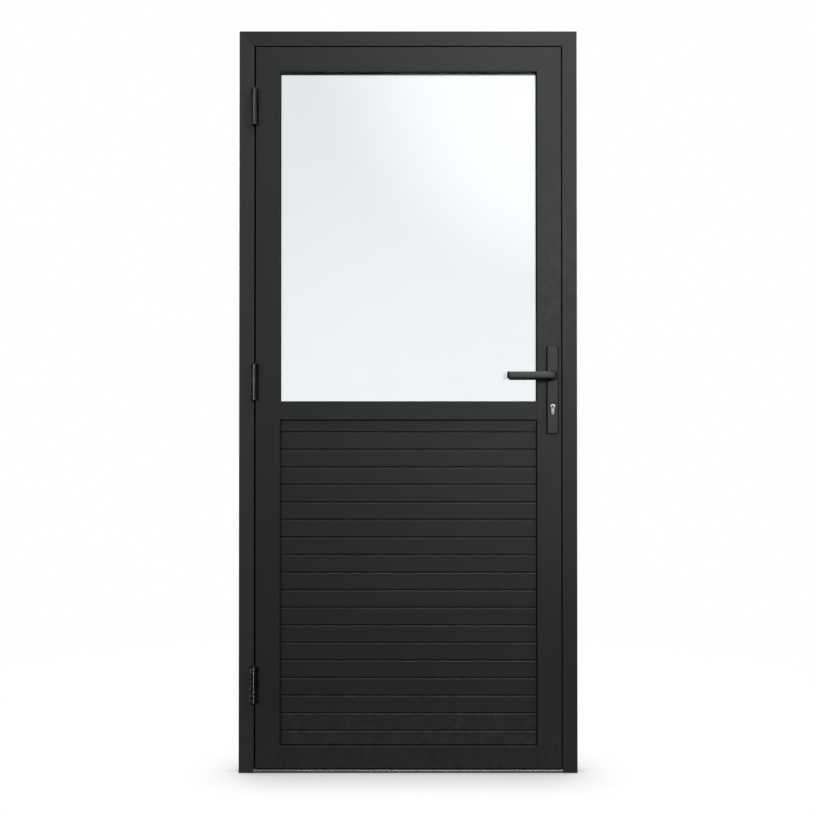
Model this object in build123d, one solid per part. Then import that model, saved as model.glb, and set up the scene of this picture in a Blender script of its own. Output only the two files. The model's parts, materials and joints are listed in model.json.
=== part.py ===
from build123d import *
import math
import os

# A hinged aluminium front door in its frame: glass above, a panel of tongued slats below.
# Millimetres. X runs to the right seen from outside, Y into the building, Z up.
# The origin is the middle of the threshold's underside, halfway through the frame's depth.

# Outer frame
frame_width = 980
frame_height = 2150
frame_depth = 55
frame_face = 43
frame_wall = 2.5
stop_reach = 11
stop_thickness = 3
profile_arris = 0.8
frame_arris = 1.2

# Threshold between the jambs
threshold_height = 10
threshold_wall = 2
threshold_chamfer = 4
threshold_upstand = 12

# Wall fixings through the jambs
fixing_hole_diameter = 8
fixing_count = 4
fixing_end_distance = 250

# Leaf and its profiles
running_gap = 4
head_gap = 3
leaf_shift = 1
leaf_depth = 45
leaf_wall = 2.5
stile_face = 70
mid_rail_face = 53
mid_rail_bottom = 1021
bottom_rail_face = 63
nib_depth = 8
glass_cover = 12
panel_cover = 12
panel_foot_cover = 9
bead_slope = 4
mitre_gap = 0.5
butt_gap = 0.3

# Glazing
glass_seal = 3
glass_seal_show = 0.7
glass_seal_side_show = 3
glass_edge_gap = 3
pane_thickness = 4
cavity = 12
spacer_height = 8
inner_seal = 3

# Slatted panel
slat_pitch = 50.9
panel_seal = 1
panel_seal_show = 3
panel_seal_bottom_show = 4.5
slat_end_gap = 0.5
slat_top_gap = 0.3
slat_wall = 1.4
slat_web = 2.2
slat_groove_height = 4
slat_groove_depth = 6
slat_chamfer = 3
tongue_width = 3
tongue_height = 6
tongue_clearance = 0.3

# Beads on the inside
bead_wall = 1.5
bead_joint = 0.2

# Door seal on the frame's stop
door_seal_width = 6
door_seal_inset = 1
door_seal_gap = 0.3

# Surface hinges
top_hinge_drop = 175
middle_hinge_below_spindle = 19
bottom_hinge_rise = 241
hinge_length = 105
hinge_knuckle_radius = 7
hinge_offset = 8
hinge_cap_radius = 7.5
hinge_cap_height = 4
hinge_split = 0.3
hinge_split_chamfer = 0.5
hinge_pin_radius = 4
hinge_pin_clearance = 0.05
hinge_pin_reach = 40
hinge_pin_end_gap = 1
hinge_wing_near = 7.5
hinge_wing_far = 12.5
hinge_wing_thickness = 3
hinge_wing_arris = 0.8

# Lock and handles
backset = 26
spindle_height = 1149
cylinder_drop = 90
spindle_side = 8
handle_plate_width = 30
handle_plate_length = 252
handle_plate_centre_drop = 42
handle_plate_thickness = 8
handle_plate_corner = 5
handle_plate_bevel = 1.5
collar_radius = 16.8
collar_height = 4
collar_round = 1
neck_radius = 9.5
neck_clearance = 0.1
neck_end_gap = 0.5
outer_grip_length = 144.5
inner_grip_length = 127
grip_height = 20
grip_thickness = 13
grip_stand_off = 55
grip_bend_radius = 20
grip_end_round = 3
spindle_socket_depth = 12
spindle_hole_clearance = 2.4
cylinder_radius = 8.5
cylinder_tail_width = 10
cylinder_total_height = 33
cylinder_proud = 2
cylinder_clearance = 0.3
plug_radius = 6.5
plug_proud = 0.5
keyway_width = 2.2
keyway_height = 8.5
keyway_depth = 6
lock_case_thickness = 16
lock_case_depth = 40
lock_case_above_spindle = 54
lock_case_below_cylinder = 35
lock_plate_width = 24
lock_plate_thickness = 1.5
lock_plate_above_spindle = 77
lock_plate_below_cylinder = 78
lock_recess_clearance = 0.2
lock_case_clearance = 0.5
bolt_thickness = 11
latch_height = 24
latch_above_spindle = 32
deadbolt_height = 22
deadbolt_above_cylinder = 41
bolt_length = 16
bolt_clearance = 0.2
strike_slot_extra = 1.5

# Places that follow from the sizes above
half_width = frame_width / 2
front_y = -frame_depth / 2
back_y = frame_depth / 2
stop_front_y = back_y - stop_thickness
jamb_inner_x = half_width - frame_face
stop_inner_x = jamb_inner_x - stop_reach
head_underside = frame_height - frame_face
leaf_half_width = jamb_inner_x - running_gap
leaf_bottom = threshold_height + running_gap
leaf_top = head_underside - head_gap
leaf_back_y = front_y + leaf_depth
leaf_mid_y = front_y + leaf_depth / 2
nib_back_y = front_y + nib_depth
sight_half_width = leaf_half_width - stile_face
pocket_half_width = sight_half_width + glass_cover
mid_rail_top = mid_rail_bottom + mid_rail_face
glass_pocket_bottom = mid_rail_top - glass_cover
glass_pocket_top = leaf_top - stile_face + glass_cover
panel_pocket_bottom = leaf_bottom + bottom_rail_face - panel_foot_cover
panel_pocket_top = mid_rail_bottom + panel_cover
pane_front_y = nib_back_y + glass_seal
unit_thickness = 2 * pane_thickness + cavity
unit_back_y = pane_front_y + unit_thickness
bead_front_y = unit_back_y + inner_seal
slat_front_y = nib_back_y + panel_seal
slat_thickness = bead_front_y - inner_seal - slat_front_y
hinge_gap = running_gap + leaf_shift
hinge_axis_x = -(jamb_inner_x - hinge_gap / 2)
hinge_axis_y = front_y - hinge_offset
spindle_x = leaf_half_width - backset
cylinder_height = spindle_height - cylinder_drop
handle_plate_centre = spindle_height - handle_plate_centre_drop
lock_case_top = spindle_height + lock_case_above_spindle
lock_case_bottom = cylinder_height - lock_case_below_cylinder
lock_plate_top = spindle_height + lock_plate_above_spindle
lock_plate_bottom = cylinder_height - lock_plate_below_cylinder
latch_centre = spindle_height + latch_above_spindle
deadbolt_centre = cylinder_height + deadbolt_above_cylinder
fixing_spacing = (frame_height - 2 * fixing_end_distance) / (fixing_count - 1)
hinge_heights = {
    "bottom": leaf_bottom + bottom_hinge_rise,
    "middle": spindle_height - middle_hinge_below_spindle,
    "top": leaf_top - top_hinge_drop,
}


def block(low, high):
    """A box between two opposite corners."""
    size = [high[i] - low[i] for i in range(3)]
    return Pos(*low) * Box(*size, align=(Align.MIN, Align.MIN, Align.MIN))


def rounded_outline(points, radius):
    """A flat outline, its points going round to the left, with every outward corner rounded."""
    outward = []
    for i, (x, y) in enumerate(points):
        x_before, y_before = points[i - 1]
        x_after, y_after = points[(i + 1) % len(points)]
        turn = (x - x_before) * (y_after - y) - (y - y_before) * (x_after - x)
        if turn > 0:
            outward.append((x, y))
    face = Polygon(*points, align=None)
    corners = [
        vertex
        for vertex in face.vertices()
        if min(math.dist((vertex.X, vertex.Y), point) for point in outward) < radius / 10
    ]
    return fillet(corners, radius)


def hollow(outline, wall):
    """A closed profile with an even wall round one chamber."""
    return outline - offset(outline, -wall, kind=Kind.INTERSECTION)


def frame_section():
    """The frame profile: local X inward from the outer face, local Y through the wall."""
    points = [
        (0, front_y),
        (frame_face, front_y),
        (frame_face, stop_front_y),
        (frame_face + stop_reach, stop_front_y),
        (frame_face + stop_reach, back_y),
        (0, back_y),
    ]
    chamber_points = [
        (frame_wall, front_y + frame_wall),
        (frame_face - frame_wall, front_y + frame_wall),
        (frame_face - frame_wall, back_y - frame_wall),
        (frame_wall, back_y - frame_wall),
    ]
    return rounded_outline(points, frame_arris) - Polygon(*chamber_points, align=None)


def edge_section(face_width, cover):
    """A leaf profile at the leaf's edge: a box with a nib in front of the glass or the panel."""
    points = [
        (0, front_y),
        (face_width, front_y),
        (face_width, nib_back_y),
        (face_width - cover, nib_back_y),
        (face_width - cover, leaf_back_y),
        (0, leaf_back_y),
    ]
    return hollow(rounded_outline(points, profile_arris), leaf_wall)


def mid_rail_section():
    """The mid rail profile: local X upward from its lower edge, with a nib on each side."""
    points = [
        (0, front_y),
        (mid_rail_face, front_y),
        (mid_rail_face, nib_back_y),
        (mid_rail_face - glass_cover, nib_back_y),
        (mid_rail_face - glass_cover, leaf_back_y),
        (panel_cover, leaf_back_y),
        (panel_cover, nib_back_y),
        (0, nib_back_y),
    ]
    return hollow(rounded_outline(points, profile_arris), leaf_wall)


def upright(section, outer_x, bottom, top):
    """A profile standing on the left of the door, cut from bottom to top."""
    plane = Plane(origin=(-outer_x, 0, bottom), x_dir=(1, 0, 0), z_dir=(0, 0, 1))
    return extrude(plane * section, amount=top - bottom)


def hanging_bar(section, half_length, top):
    """A profile across the door whose local X runs down from its top."""
    plane = Plane(origin=(-half_length, 0, top), x_dir=(0, 0, -1), z_dir=(1, 0, 0))
    return extrude(plane * section, amount=2 * half_length)


def standing_bar(section, half_length, bottom):
    """A profile across the door whose local X runs up from its bottom."""
    plane = Plane(origin=(half_length, 0, bottom), x_dir=(0, 0, 1), z_dir=(-1, 0, 0))
    return extrude(plane * section, amount=2 * half_length)


def mitre_wedge(half_length, top, reach, joint):
    """Everything above the two corner mitres, moved down by the joint, through the full depth."""
    points = [
        (-half_length - joint, top),
        (half_length + joint, top),
        (half_length - reach, top - joint - reach),
        (reach - half_length, top - joint - reach),
    ]
    return extrude(Plane.XZ * Polygon(*points, align=None), amount=frame_depth, both=True)


def cross_hole(radius, y, z, x_start, x_end):
    """A round cut along X."""
    plane = Plane(origin=(x_start, y, z), x_dir=(0, 1, 0), z_dir=(1, 0, 0))
    return extrude(plane * Circle(radius), amount=x_end - x_start)


def through_leaf(face, x, z):
    """A cut along Y through the leaf and both handle plates."""
    reach = leaf_depth + 2 * (handle_plate_thickness + collar_height)
    plane = Plane(origin=(x, leaf_mid_y + reach / 2, z), x_dir=(1, 0, 0), z_dir=(0, -1, 0))
    return extrude(plane * face, amount=reach)


def cylinder_outline(clearance):
    """The euro profile of the lock cylinder, centred on its plug."""
    tail_radius = cylinder_tail_width / 2
    tail_centre = cylinder_total_height - cylinder_radius - tail_radius
    barrel = Circle(cylinder_radius + clearance)
    tail = Pos(0, -tail_centre / 2) * Rectangle(cylinder_tail_width + 2 * clearance, tail_centre)
    tip = Pos(0, -tail_centre) * Circle(tail_radius + clearance)
    return barrel + tail + tip


# Outer frame: mitred at the head, cut flat at the floor
def strike_slot_sizes():
    """Centre height and half height of the slots that take the latch and the deadbolt."""
    return [
        (latch_centre, latch_height / 2 + strike_slot_extra),
        (deadbolt_centre, deadbolt_height / 2 + strike_slot_extra),
    ]


def strike_slots():
    """The two slots, cut from the rebate into the lock jamb's chamber."""
    half_slot = bolt_thickness / 2 + strike_slot_extra
    slots = [
        block(
            (jamb_inner_x - 1, leaf_mid_y - half_slot, centre - half_height),
            (jamb_inner_x + 2 * frame_wall, leaf_mid_y + half_slot, centre + half_height),
        )
        for centre, half_height in strike_slot_sizes()
    ]
    return slots[0] + slots[1]


def lock_plate_block(x_low, x_high, clearance):
    """A block of the lock plate's outline, grown by a clearance."""
    half_plate = lock_plate_width / 2 + clearance
    return block(
        (x_low, leaf_mid_y - half_plate, lock_plate_bottom - clearance),
        (x_high, leaf_mid_y + half_plate, lock_plate_top + clearance),
    )


def jamb():
    """The left jamb, with its wall fixing holes."""
    wedge = mitre_wedge(half_width, frame_height, 2 * (frame_face + stop_reach), mitre_gap)
    solid = upright(frame_section(), half_width, 0, frame_height) - wedge
    for i in range(fixing_count):
        height = fixing_end_distance + i * fixing_spacing
        solid -= cross_hole(fixing_hole_diameter / 2, 0, height, -half_width - 1, -jamb_inner_x + 1)
    return solid


def frame_hinge_jamb():
    return jamb()


def frame_lock_jamb():
    plate_seat = lock_plate_block(jamb_inner_x - 1, jamb_inner_x + lock_plate_thickness, lock_recess_clearance)
    return mirror(jamb(), Plane.YZ) - plate_seat - strike_slots()


def frame_head():
    wedge = mitre_wedge(half_width, frame_height, 2 * (frame_face + stop_reach), 0)
    return hanging_bar(frame_section(), half_width, frame_height) & wedge


def strike_plate():
    return lock_plate_block(jamb_inner_x, jamb_inner_x + lock_plate_thickness, 0) - strike_slots()


def threshold():
    """A low hollow sill with an upstand between the stops."""
    points = [
        (0, front_y),
        (threshold_height - threshold_chamfer, front_y),
        (threshold_height, front_y + threshold_chamfer),
        (threshold_height, stop_front_y),
        (threshold_height + threshold_upstand, stop_front_y),
        (threshold_height + threshold_upstand, back_y),
        (0, back_y),
    ]
    chamber_points = [
        (threshold_wall, front_y + threshold_chamfer),
        (threshold_height - threshold_wall, front_y + threshold_chamfer + threshold_wall),
        (threshold_height - threshold_wall, stop_front_y),
        (threshold_wall, stop_front_y),
    ]
    section = Polygon(*points, align=None) - Polygon(*chamber_points, align=None)
    bar = standing_bar(section, jamb_inner_x, 0)
    top = threshold_height + threshold_upstand
    left_notch = block((-jamb_inner_x, stop_front_y, 0), (-stop_inner_x, back_y, top))
    return bar - left_notch - mirror(left_notch, Plane.YZ)


def frame_gasket():
    """The rubber seal on the front of the stop, on both sides and along the head."""
    seal_low_x = stop_inner_x + door_seal_inset
    seal_high_x = seal_low_x + door_seal_width
    seal_front_y = leaf_back_y + door_seal_gap
    seal_top = head_underside - stop_reach + door_seal_inset + door_seal_width
    left = block((-seal_high_x, seal_front_y, threshold_height), (-seal_low_x, stop_front_y, seal_top))
    head = block(
        (-seal_high_x, seal_front_y, seal_top - door_seal_width),
        (seal_high_x, stop_front_y, seal_top),
    )
    return left + head + mirror(left, Plane.YZ)


# Hinges: the frame half carries the pin, the leaf half turns on it
def hinge_wing(height, side, base, top):
    """The plate on the profile's face and the web that joins it to its own knuckle."""
    near = hinge_axis_x + side * hinge_wing_near
    far = hinge_axis_x + side * hinge_wing_far
    edge = hinge_axis_x + side * hinge_gap / 2
    half_length = hinge_length / 2
    plate = block(
        (min(near, far), front_y - hinge_wing_thickness, height - half_length),
        (max(near, far), front_y, height + half_length),
    )
    plate = fillet(plate.faces().sort_by(Axis.Y)[0].edges(), hinge_wing_arris)
    web = block(
        (min(near, edge), front_y - hinge_wing_thickness, base),
        (max(near, edge), front_y, top),
    )
    return plate + web


def hinge_knuckle(base, length, cap_at_top):
    """A barrel with a wider cap at its outer end and a chamfer at the split."""
    axis = Pos(hinge_axis_x, hinge_axis_y, base)
    low = (Align.CENTER, Align.CENTER, Align.MIN)
    barrel = axis * Cylinder(hinge_knuckle_radius, length, align=low)
    split_face = barrel.faces().sort_by(Axis.Z)[0 if cap_at_top else -1]
    barrel = chamfer(split_face.edges(), hinge_split_chamfer)
    cap_base = length - hinge_cap_height if cap_at_top else 0
    cap = axis * Pos(0, 0, cap_base) * Cylinder(hinge_cap_radius, hinge_cap_height, align=low)
    end_face = cap.faces().sort_by(Axis.Z)[-1 if cap_at_top else 0]
    return barrel + fillet(end_face.edges(), hinge_split_chamfer)


def hinge_frame_half(height):
    base = height - hinge_length / 2
    knuckle_length = (hinge_length - hinge_split) / 2
    pin_length = hinge_length / 2 + hinge_pin_reach
    low = (Align.CENTER, Align.CENTER, Align.MIN)
    pin = Pos(hinge_axis_x, hinge_axis_y, base) * Cylinder(hinge_pin_radius, pin_length, align=low)
    wing = hinge_wing(height, -1, base, base + knuckle_length)
    return hinge_knuckle(base, knuckle_length, False) + wing + pin


def hinge_leaf_half(height):
    base = height + hinge_split / 2
    knuckle_length = (hinge_length - hinge_split) / 2
    bore_radius = hinge_pin_radius + hinge_pin_clearance
    bore_length = hinge_pin_reach + hinge_pin_end_gap
    low = (Align.CENTER, Align.CENTER, Align.MIN)
    bore = Pos(hinge_axis_x, hinge_axis_y, height) * Cylinder(bore_radius, bore_length, align=low)
    wing = hinge_wing(height, 1, base, base + knuckle_length)
    return hinge_knuckle(base, knuckle_length, True) + wing - bore


# Leaf: stiles and top rail mitred, mid and bottom rails cut between the stiles
def leaf_stile():
    wedge = mitre_wedge(leaf_half_width, leaf_top, 2 * stile_face, mitre_gap)
    section = edge_section(stile_face, glass_cover)
    return upright(section, leaf_half_width, leaf_bottom, leaf_top) - wedge


def leaf_hinge_stile():
    return leaf_stile()


def leaf_lock_stile():
    """The stile with the seats for the lock case, the spindle and the cylinder."""
    outer_x = leaf_half_width
    case_half = lock_case_thickness / 2 + lock_case_clearance
    plate_seat = lock_plate_block(outer_x - lock_plate_thickness, outer_x + 1, lock_recess_clearance)
    case_window = block(
        (outer_x - 2 * leaf_wall, leaf_mid_y - case_half, lock_case_bottom - lock_case_clearance),
        (outer_x, leaf_mid_y + case_half, lock_case_top + lock_case_clearance),
    )
    spindle_hole = through_leaf(Circle(neck_radius + lock_case_clearance), spindle_x, spindle_height)
    cylinder_hole = through_leaf(cylinder_outline(cylinder_clearance), spindle_x, cylinder_height)
    return mirror(leaf_stile(), Plane.YZ) - plate_seat - case_window - spindle_hole - cylinder_hole


def leaf_top_rail():
    wedge = mitre_wedge(leaf_half_width, leaf_top, 2 * stile_face, 0)
    return hanging_bar(edge_section(stile_face, glass_cover), leaf_half_width, leaf_top) & wedge


def cut_between_stiles(bar, bottom, top):
    """Shorten the front of a rail to the sight line, where the stiles' nibs stand."""
    left = block((-pocket_half_width, front_y, bottom), (butt_gap - sight_half_width, nib_back_y, top))
    return bar - left - mirror(left, Plane.YZ)


def leaf_mid_rail():
    bar = standing_bar(mid_rail_section(), pocket_half_width, mid_rail_bottom)
    return cut_between_stiles(bar, mid_rail_bottom, mid_rail_top)


def leaf_bottom_rail():
    section = edge_section(bottom_rail_face, panel_foot_cover)
    bar = standing_bar(section, pocket_half_width, leaf_bottom)
    return cut_between_stiles(bar, leaf_bottom, leaf_bottom + bottom_rail_face)


# Double glazing: two panes, a spacer between them, and a seal on each side
def ring(half_out, low_out, high_out, half_in, low_in, high_in, y_low, y_high):
    """A rectangular ring in the door's plane, from its outer and its inner rectangle."""
    outer = block((-half_out, y_low, low_out), (half_out, y_high, high_out))
    inner = block((-half_in, y_low, low_in), (half_in, y_high, high_in))
    return outer - inner


def glass_pane(y_front):
    half = pocket_half_width - glass_edge_gap
    return block(
        (-half, y_front, glass_pocket_bottom + glass_edge_gap),
        (half, y_front + pane_thickness, glass_pocket_top - glass_edge_gap),
    )


def glass_outer_pane():
    return glass_pane(pane_front_y)


def glass_inner_pane():
    return glass_pane(unit_back_y - pane_thickness)


def glass_spacer():
    half = pocket_half_width - glass_edge_gap
    low = glass_pocket_bottom + glass_edge_gap
    high = glass_pocket_top - glass_edge_gap
    return ring(
        half, low, high,
        half - spacer_height, low + spacer_height, high - spacer_height,
        pane_front_y + pane_thickness, unit_back_y - pane_thickness,
    )


def sight_ring(low_sight, high_sight, hides, shows, y_low, y_high):
    """A seal round an opening, with what it hides behind the nib and shows at its sides, foot and top."""
    side_hide, foot_hide, top_hide = hides
    side_show, foot_show, top_show = shows
    return ring(
        sight_half_width + side_hide, low_sight - foot_hide, high_sight + top_hide,
        sight_half_width - side_show, low_sight + foot_show, high_sight - top_show,
        y_low, y_high,
    )


def glass_gaskets():
    low = mid_rail_top
    high = leaf_top - stile_face
    hides = [glass_cover - glass_edge_gap] * 3
    front_shows = (glass_seal_side_show, glass_seal_show, glass_seal_show)
    front = sight_ring(low, high, hides, front_shows, nib_back_y, pane_front_y)
    back = sight_ring(low, high, hides, (0, 0, 0), unit_back_y, bead_front_y)
    return Compound([front.solid(), back.solid()])


def panel_gaskets():
    low = leaf_bottom + bottom_rail_face
    high = mid_rail_bottom
    hides = [cover - slat_end_gap for cover in (glass_cover, panel_foot_cover, panel_cover)]
    front_shows = (panel_seal_show, panel_seal_bottom_show, panel_seal_show)
    front = sight_ring(low, high, hides, front_shows, nib_back_y, slat_front_y)
    back = sight_ring(low, high, hides, (0, 0, 0), bead_front_y - inner_seal, bead_front_y)
    return Compound([front.solid(), back.solid()])


def bead_bar(length, height):
    """A hollow bead, lying along X, its seat on the pocket floor and its top sloping to the room."""
    depth = leaf_back_y - bead_front_y
    points = [(0, 0), (depth, 0), (depth, height - bead_slope), (0, height)]
    outline = rounded_outline(points, profile_arris)
    plane = Plane(origin=(-length / 2, bead_front_y, 0), x_dir=(0, 1, 0), z_dir=(1, 0, 0))
    return extrude(plane * hollow(outline, bead_wall), amount=length)


def bead_set(low, high, low_cover, high_cover):
    """Four beads round a pocket: two across, and two upright between them."""
    across = 2 * pocket_half_width
    between = high - low - low_cover - high_cover - 2 * bead_joint
    bottom_bead = Pos(0, 0, low) * bead_bar(across, low_cover)
    top_bead = Pos(0, 0, high - high_cover) * bead_bar(across, high_cover)
    centre = (low + low_cover + high - high_cover) / 2
    side_bead = bead_bar(between, glass_cover)
    left_bead = Pos(-pocket_half_width, 0, centre) * Rot(0, 90, 0) * side_bead
    return Compound([
        bottom_bead.solid(),
        top_bead.solid(),
        left_bead.solid(),
        mirror(left_bead, Plane.YZ).solid(),
    ])


def glass_beads():
    return bead_set(glass_pocket_bottom, glass_pocket_top, glass_cover, glass_cover)


def panel_beads():
    return bead_set(panel_pocket_bottom, panel_pocket_top, panel_foot_cover, panel_cover)


# Slatted panel: hollow tongued boards stacked in the lower pocket
def slat_section():
    """One board: local X upward from its lower shoulder, local Y from front to back."""
    middle = slat_thickness / 2
    socket_half = tongue_width / 2 + tongue_clearance
    socket_top = tongue_height + tongue_clearance
    front = [
        (slat_groove_height, 0),
        (slat_groove_height, slat_groove_depth),
        (0, slat_groove_depth),
        (0, middle - socket_half),
        (socket_top, middle - socket_half),
        (socket_top, middle + socket_half),
        (0, middle + socket_half),
        (0, slat_thickness - slat_groove_depth),
        (slat_groove_height, slat_thickness - slat_groove_depth),
        (slat_groove_height, slat_thickness),
    ]
    back = [
        (slat_pitch - slat_chamfer, slat_thickness),
        (slat_pitch, slat_thickness - slat_chamfer),
        (slat_pitch, middle + tongue_width / 2),
        (slat_pitch + tongue_height, middle + tongue_width / 2),
        (slat_pitch + tongue_height, middle - tongue_width / 2),
        (slat_pitch, middle - tongue_width / 2),
        (slat_pitch, slat_chamfer),
        (slat_pitch - slat_chamfer, 0),
    ]
    chamber_low = socket_top + slat_web
    chamber_high = slat_pitch - slat_chamfer - slat_wall
    chamber = Pos((chamber_low + chamber_high) / 2, middle) * Rectangle(
        chamber_high - chamber_low, slat_thickness - 2 * slat_wall
    )
    return Polygon(*reversed(front + back), align=None) - chamber


def slat(index):
    """The board with the given place in the stack, the top one cut to the pocket."""
    section = Pos(0, slat_front_y) * slat_section()
    half_length = pocket_half_width - slat_end_gap
    board = standing_bar(section, half_length, panel_pocket_bottom + index * slat_pitch)
    ceiling = panel_pocket_top - slat_top_gap
    keep = block((-half_length, front_y, 0), (half_length, leaf_back_y, ceiling))
    return board & keep


# Lock: a case in the lock stile, bolts drawn back, and a euro profile cylinder
def bolt_block(centre, height, clearance):
    """A bolt, or its guide when grown by a clearance."""
    half_thickness = bolt_thickness / 2 + clearance
    half_height = height / 2 + clearance
    return block(
        (leaf_half_width - bolt_length - clearance, leaf_mid_y - half_thickness, centre - half_height),
        (leaf_half_width + 2 * clearance, leaf_mid_y + half_thickness, centre + half_height),
    )


def lock_case():
    plate_back = leaf_half_width - lock_plate_thickness
    case = block(
        (plate_back - lock_case_depth, leaf_mid_y - lock_case_thickness / 2, lock_case_bottom),
        (plate_back, leaf_mid_y + lock_case_thickness / 2, lock_case_top),
    )
    solid = case + lock_plate_block(plate_back, leaf_half_width, 0)
    solid -= bolt_block(latch_centre, latch_height, bolt_clearance)
    solid -= bolt_block(deadbolt_centre, deadbolt_height, bolt_clearance)
    spindle_radius = spindle_side / math.sqrt(2)
    solid -= through_leaf(Circle(spindle_radius + spindle_hole_clearance), spindle_x, spindle_height)
    solid -= through_leaf(cylinder_outline(cylinder_clearance), spindle_x, cylinder_height)
    return solid


def lock_bolts():
    flush = block(
        (leaf_half_width - bolt_length - 1, front_y, lock_plate_bottom),
        (leaf_half_width, leaf_back_y, lock_plate_top),
    )
    latch = bolt_block(latch_centre, latch_height, 0) & flush
    deadbolt = bolt_block(deadbolt_centre, deadbolt_height, 0) & flush
    return Compound([latch.solid(), deadbolt.solid()])


def lock_cylinder():
    """The cylinder through the leaf, with a plug and a key slot at each end."""
    half_body = leaf_depth / 2 + handle_plate_thickness + cylinder_proud
    plane = Plane(
        origin=(spindle_x, leaf_mid_y + half_body, cylinder_height), x_dir=(1, 0, 0), z_dir=(0, -1, 0)
    )
    body = extrude(plane * cylinder_outline(0), amount=2 * half_body)
    half_plug = half_body + plug_proud
    plug_plane = Plane(
        origin=(spindle_x, leaf_mid_y + half_plug, cylinder_height), x_dir=(1, 0, 0), z_dir=(0, -1, 0)
    )
    body += extrude(plug_plane * Circle(plug_radius), amount=2 * half_plug)
    for side in (-1, 1):
        near = leaf_mid_y + side * (half_plug - keyway_depth)
        far = leaf_mid_y + side * (half_plug + 1)
        body -= block(
            (spindle_x - keyway_width / 2, min(near, far), cylinder_height - keyway_height / 2),
            (spindle_x + keyway_width / 2, max(near, far), cylinder_height + keyway_height / 2),
        )
    return body


# Handles: a long plate and a lever on each face, joined by a square spindle
def outer_handle_plate():
    face_plane = Plane(
        origin=(spindle_x, front_y, handle_plate_centre), x_dir=(1, 0, 0), z_dir=(0, -1, 0)
    )
    outline = RectangleRounded(handle_plate_width, handle_plate_length, handle_plate_corner)
    plate = extrude(face_plane * outline, amount=handle_plate_thickness)
    plate = chamfer(plate.faces().sort_by(Axis.Y)[0].edges(), handle_plate_bevel)
    collar_plane = Plane(
        origin=(spindle_x, front_y - handle_plate_thickness, spindle_height),
        x_dir=(1, 0, 0),
        z_dir=(0, -1, 0),
    )
    collar = extrude(collar_plane * Circle(collar_radius), amount=collar_height)
    collar = fillet(collar.faces().sort_by(Axis.Y)[0].edges(), collar_round)
    neck_hole = through_leaf(Circle(neck_radius + neck_clearance), spindle_x, spindle_height)
    cylinder_hole = through_leaf(cylinder_outline(cylinder_clearance), spindle_x, cylinder_height)
    return plate + collar - neck_hole - cylinder_hole


def to_inside(solid):
    """The same piece on the leaf's other face."""
    return mirror(solid, Plane(origin=(0, leaf_mid_y, 0), z_dir=(0, 1, 0)))


def inner_handle_plate():
    return to_inside(outer_handle_plate())


def lever(grip_length):
    """An oval grip that bends into a round neck, with a square socket in the neck."""
    grip_y = front_y - grip_stand_off + grip_thickness / 2
    neck_start = front_y - neck_end_gap
    tip_x = spindle_x + neck_radius - grip_length
    bend_start = (spindle_x - grip_bend_radius, grip_y, spindle_height)
    bend_end = (spindle_x, grip_y + grip_bend_radius, spindle_height)
    oval = Ellipse(grip_thickness / 2, grip_height / 2)

    tip_plane = Plane(origin=(tip_x, grip_y, spindle_height), x_dir=(0, 1, 0), z_dir=(1, 0, 0))
    grip = extrude(tip_plane * oval, amount=bend_start[0] - tip_x)
    grip = fillet(grip.faces().sort_by(Axis.X)[0].edges(), grip_end_round)

    bend_start_plane = Plane(origin=bend_start, x_dir=(0, 1, 0), z_dir=(1, 0, 0))
    bend_end_plane = Plane(origin=bend_end, x_dir=(-1, 0, 0), z_dir=(0, 1, 0))
    bend_path = TangentArc(bend_start, bend_end, tangent=(1, 0, 0))
    bend_sections = [bend_start_plane * oval, bend_end_plane * Circle(neck_radius)]
    bend = sweep(bend_sections, path=bend_path, multisection=True)

    neck_plane = Plane(
        origin=(spindle_x, neck_start, spindle_height), x_dir=(1, 0, 0), z_dir=(0, -1, 0)
    )
    neck = extrude(neck_plane * Circle(neck_radius), amount=neck_start - bend_end[1])
    socket_depth = handle_plate_thickness + spindle_socket_depth - neck_end_gap
    socket = extrude(neck_plane * Rectangle(spindle_side, spindle_side), amount=socket_depth)
    return grip + bend + neck - socket


def outer_lever():
    return lever(outer_grip_length)


def inner_lever():
    return to_inside(lever(inner_grip_length))


def lever_spindle():
    half_length = leaf_depth / 2 + handle_plate_thickness + spindle_socket_depth
    half_side = spindle_side / 2
    return block(
        (spindle_x - half_side, leaf_mid_y - half_length, spindle_height - half_side),
        (spindle_x + half_side, leaf_mid_y + half_length, spindle_height + half_side),
    )


nodes = {
    "frame_hinge_jamb": frame_hinge_jamb(),
    "frame_lock_jamb": frame_lock_jamb(),
    "frame_head": frame_head(),
    "strike_plate": strike_plate(),
    "threshold": threshold(),
    "frame_gasket": frame_gasket(),
    "leaf_hinge_stile": leaf_hinge_stile(),
    "leaf_lock_stile": leaf_lock_stile(),
    "leaf_top_rail": leaf_top_rail(),
    "leaf_mid_rail": leaf_mid_rail(),
    "leaf_bottom_rail": leaf_bottom_rail(),
    "glass_outer_pane": glass_outer_pane(),
    "glass_inner_pane": glass_inner_pane(),
    "glass_spacer": glass_spacer(),
    "glass_gaskets": glass_gaskets(),
    "panel_gaskets": panel_gaskets(),
    "glass_beads": glass_beads(),
    "panel_beads": panel_beads(),
    "lock_case": lock_case(),
    "lock_bolts": lock_bolts(),
    "lock_cylinder": lock_cylinder(),
    "outer_handle_plate": outer_handle_plate(),
    "inner_handle_plate": inner_handle_plate(),
    "outer_lever": outer_lever(),
    "inner_lever": inner_lever(),
    "lever_spindle": lever_spindle(),
}
slat_count = math.ceil((panel_pocket_top - panel_pocket_bottom) / slat_pitch)
for slat_index in range(slat_count):
    nodes[f"slat_{slat_index + 1:02d}"] = slat(slat_index)

# The leaf hangs a little nearer to the lock jamb than to the hinge jamb
for name in nodes:
    if not name.startswith(("frame_", "strike_plate", "threshold")):
        nodes[name] = Pos(leaf_shift, 0, 0) * nodes[name]

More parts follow.
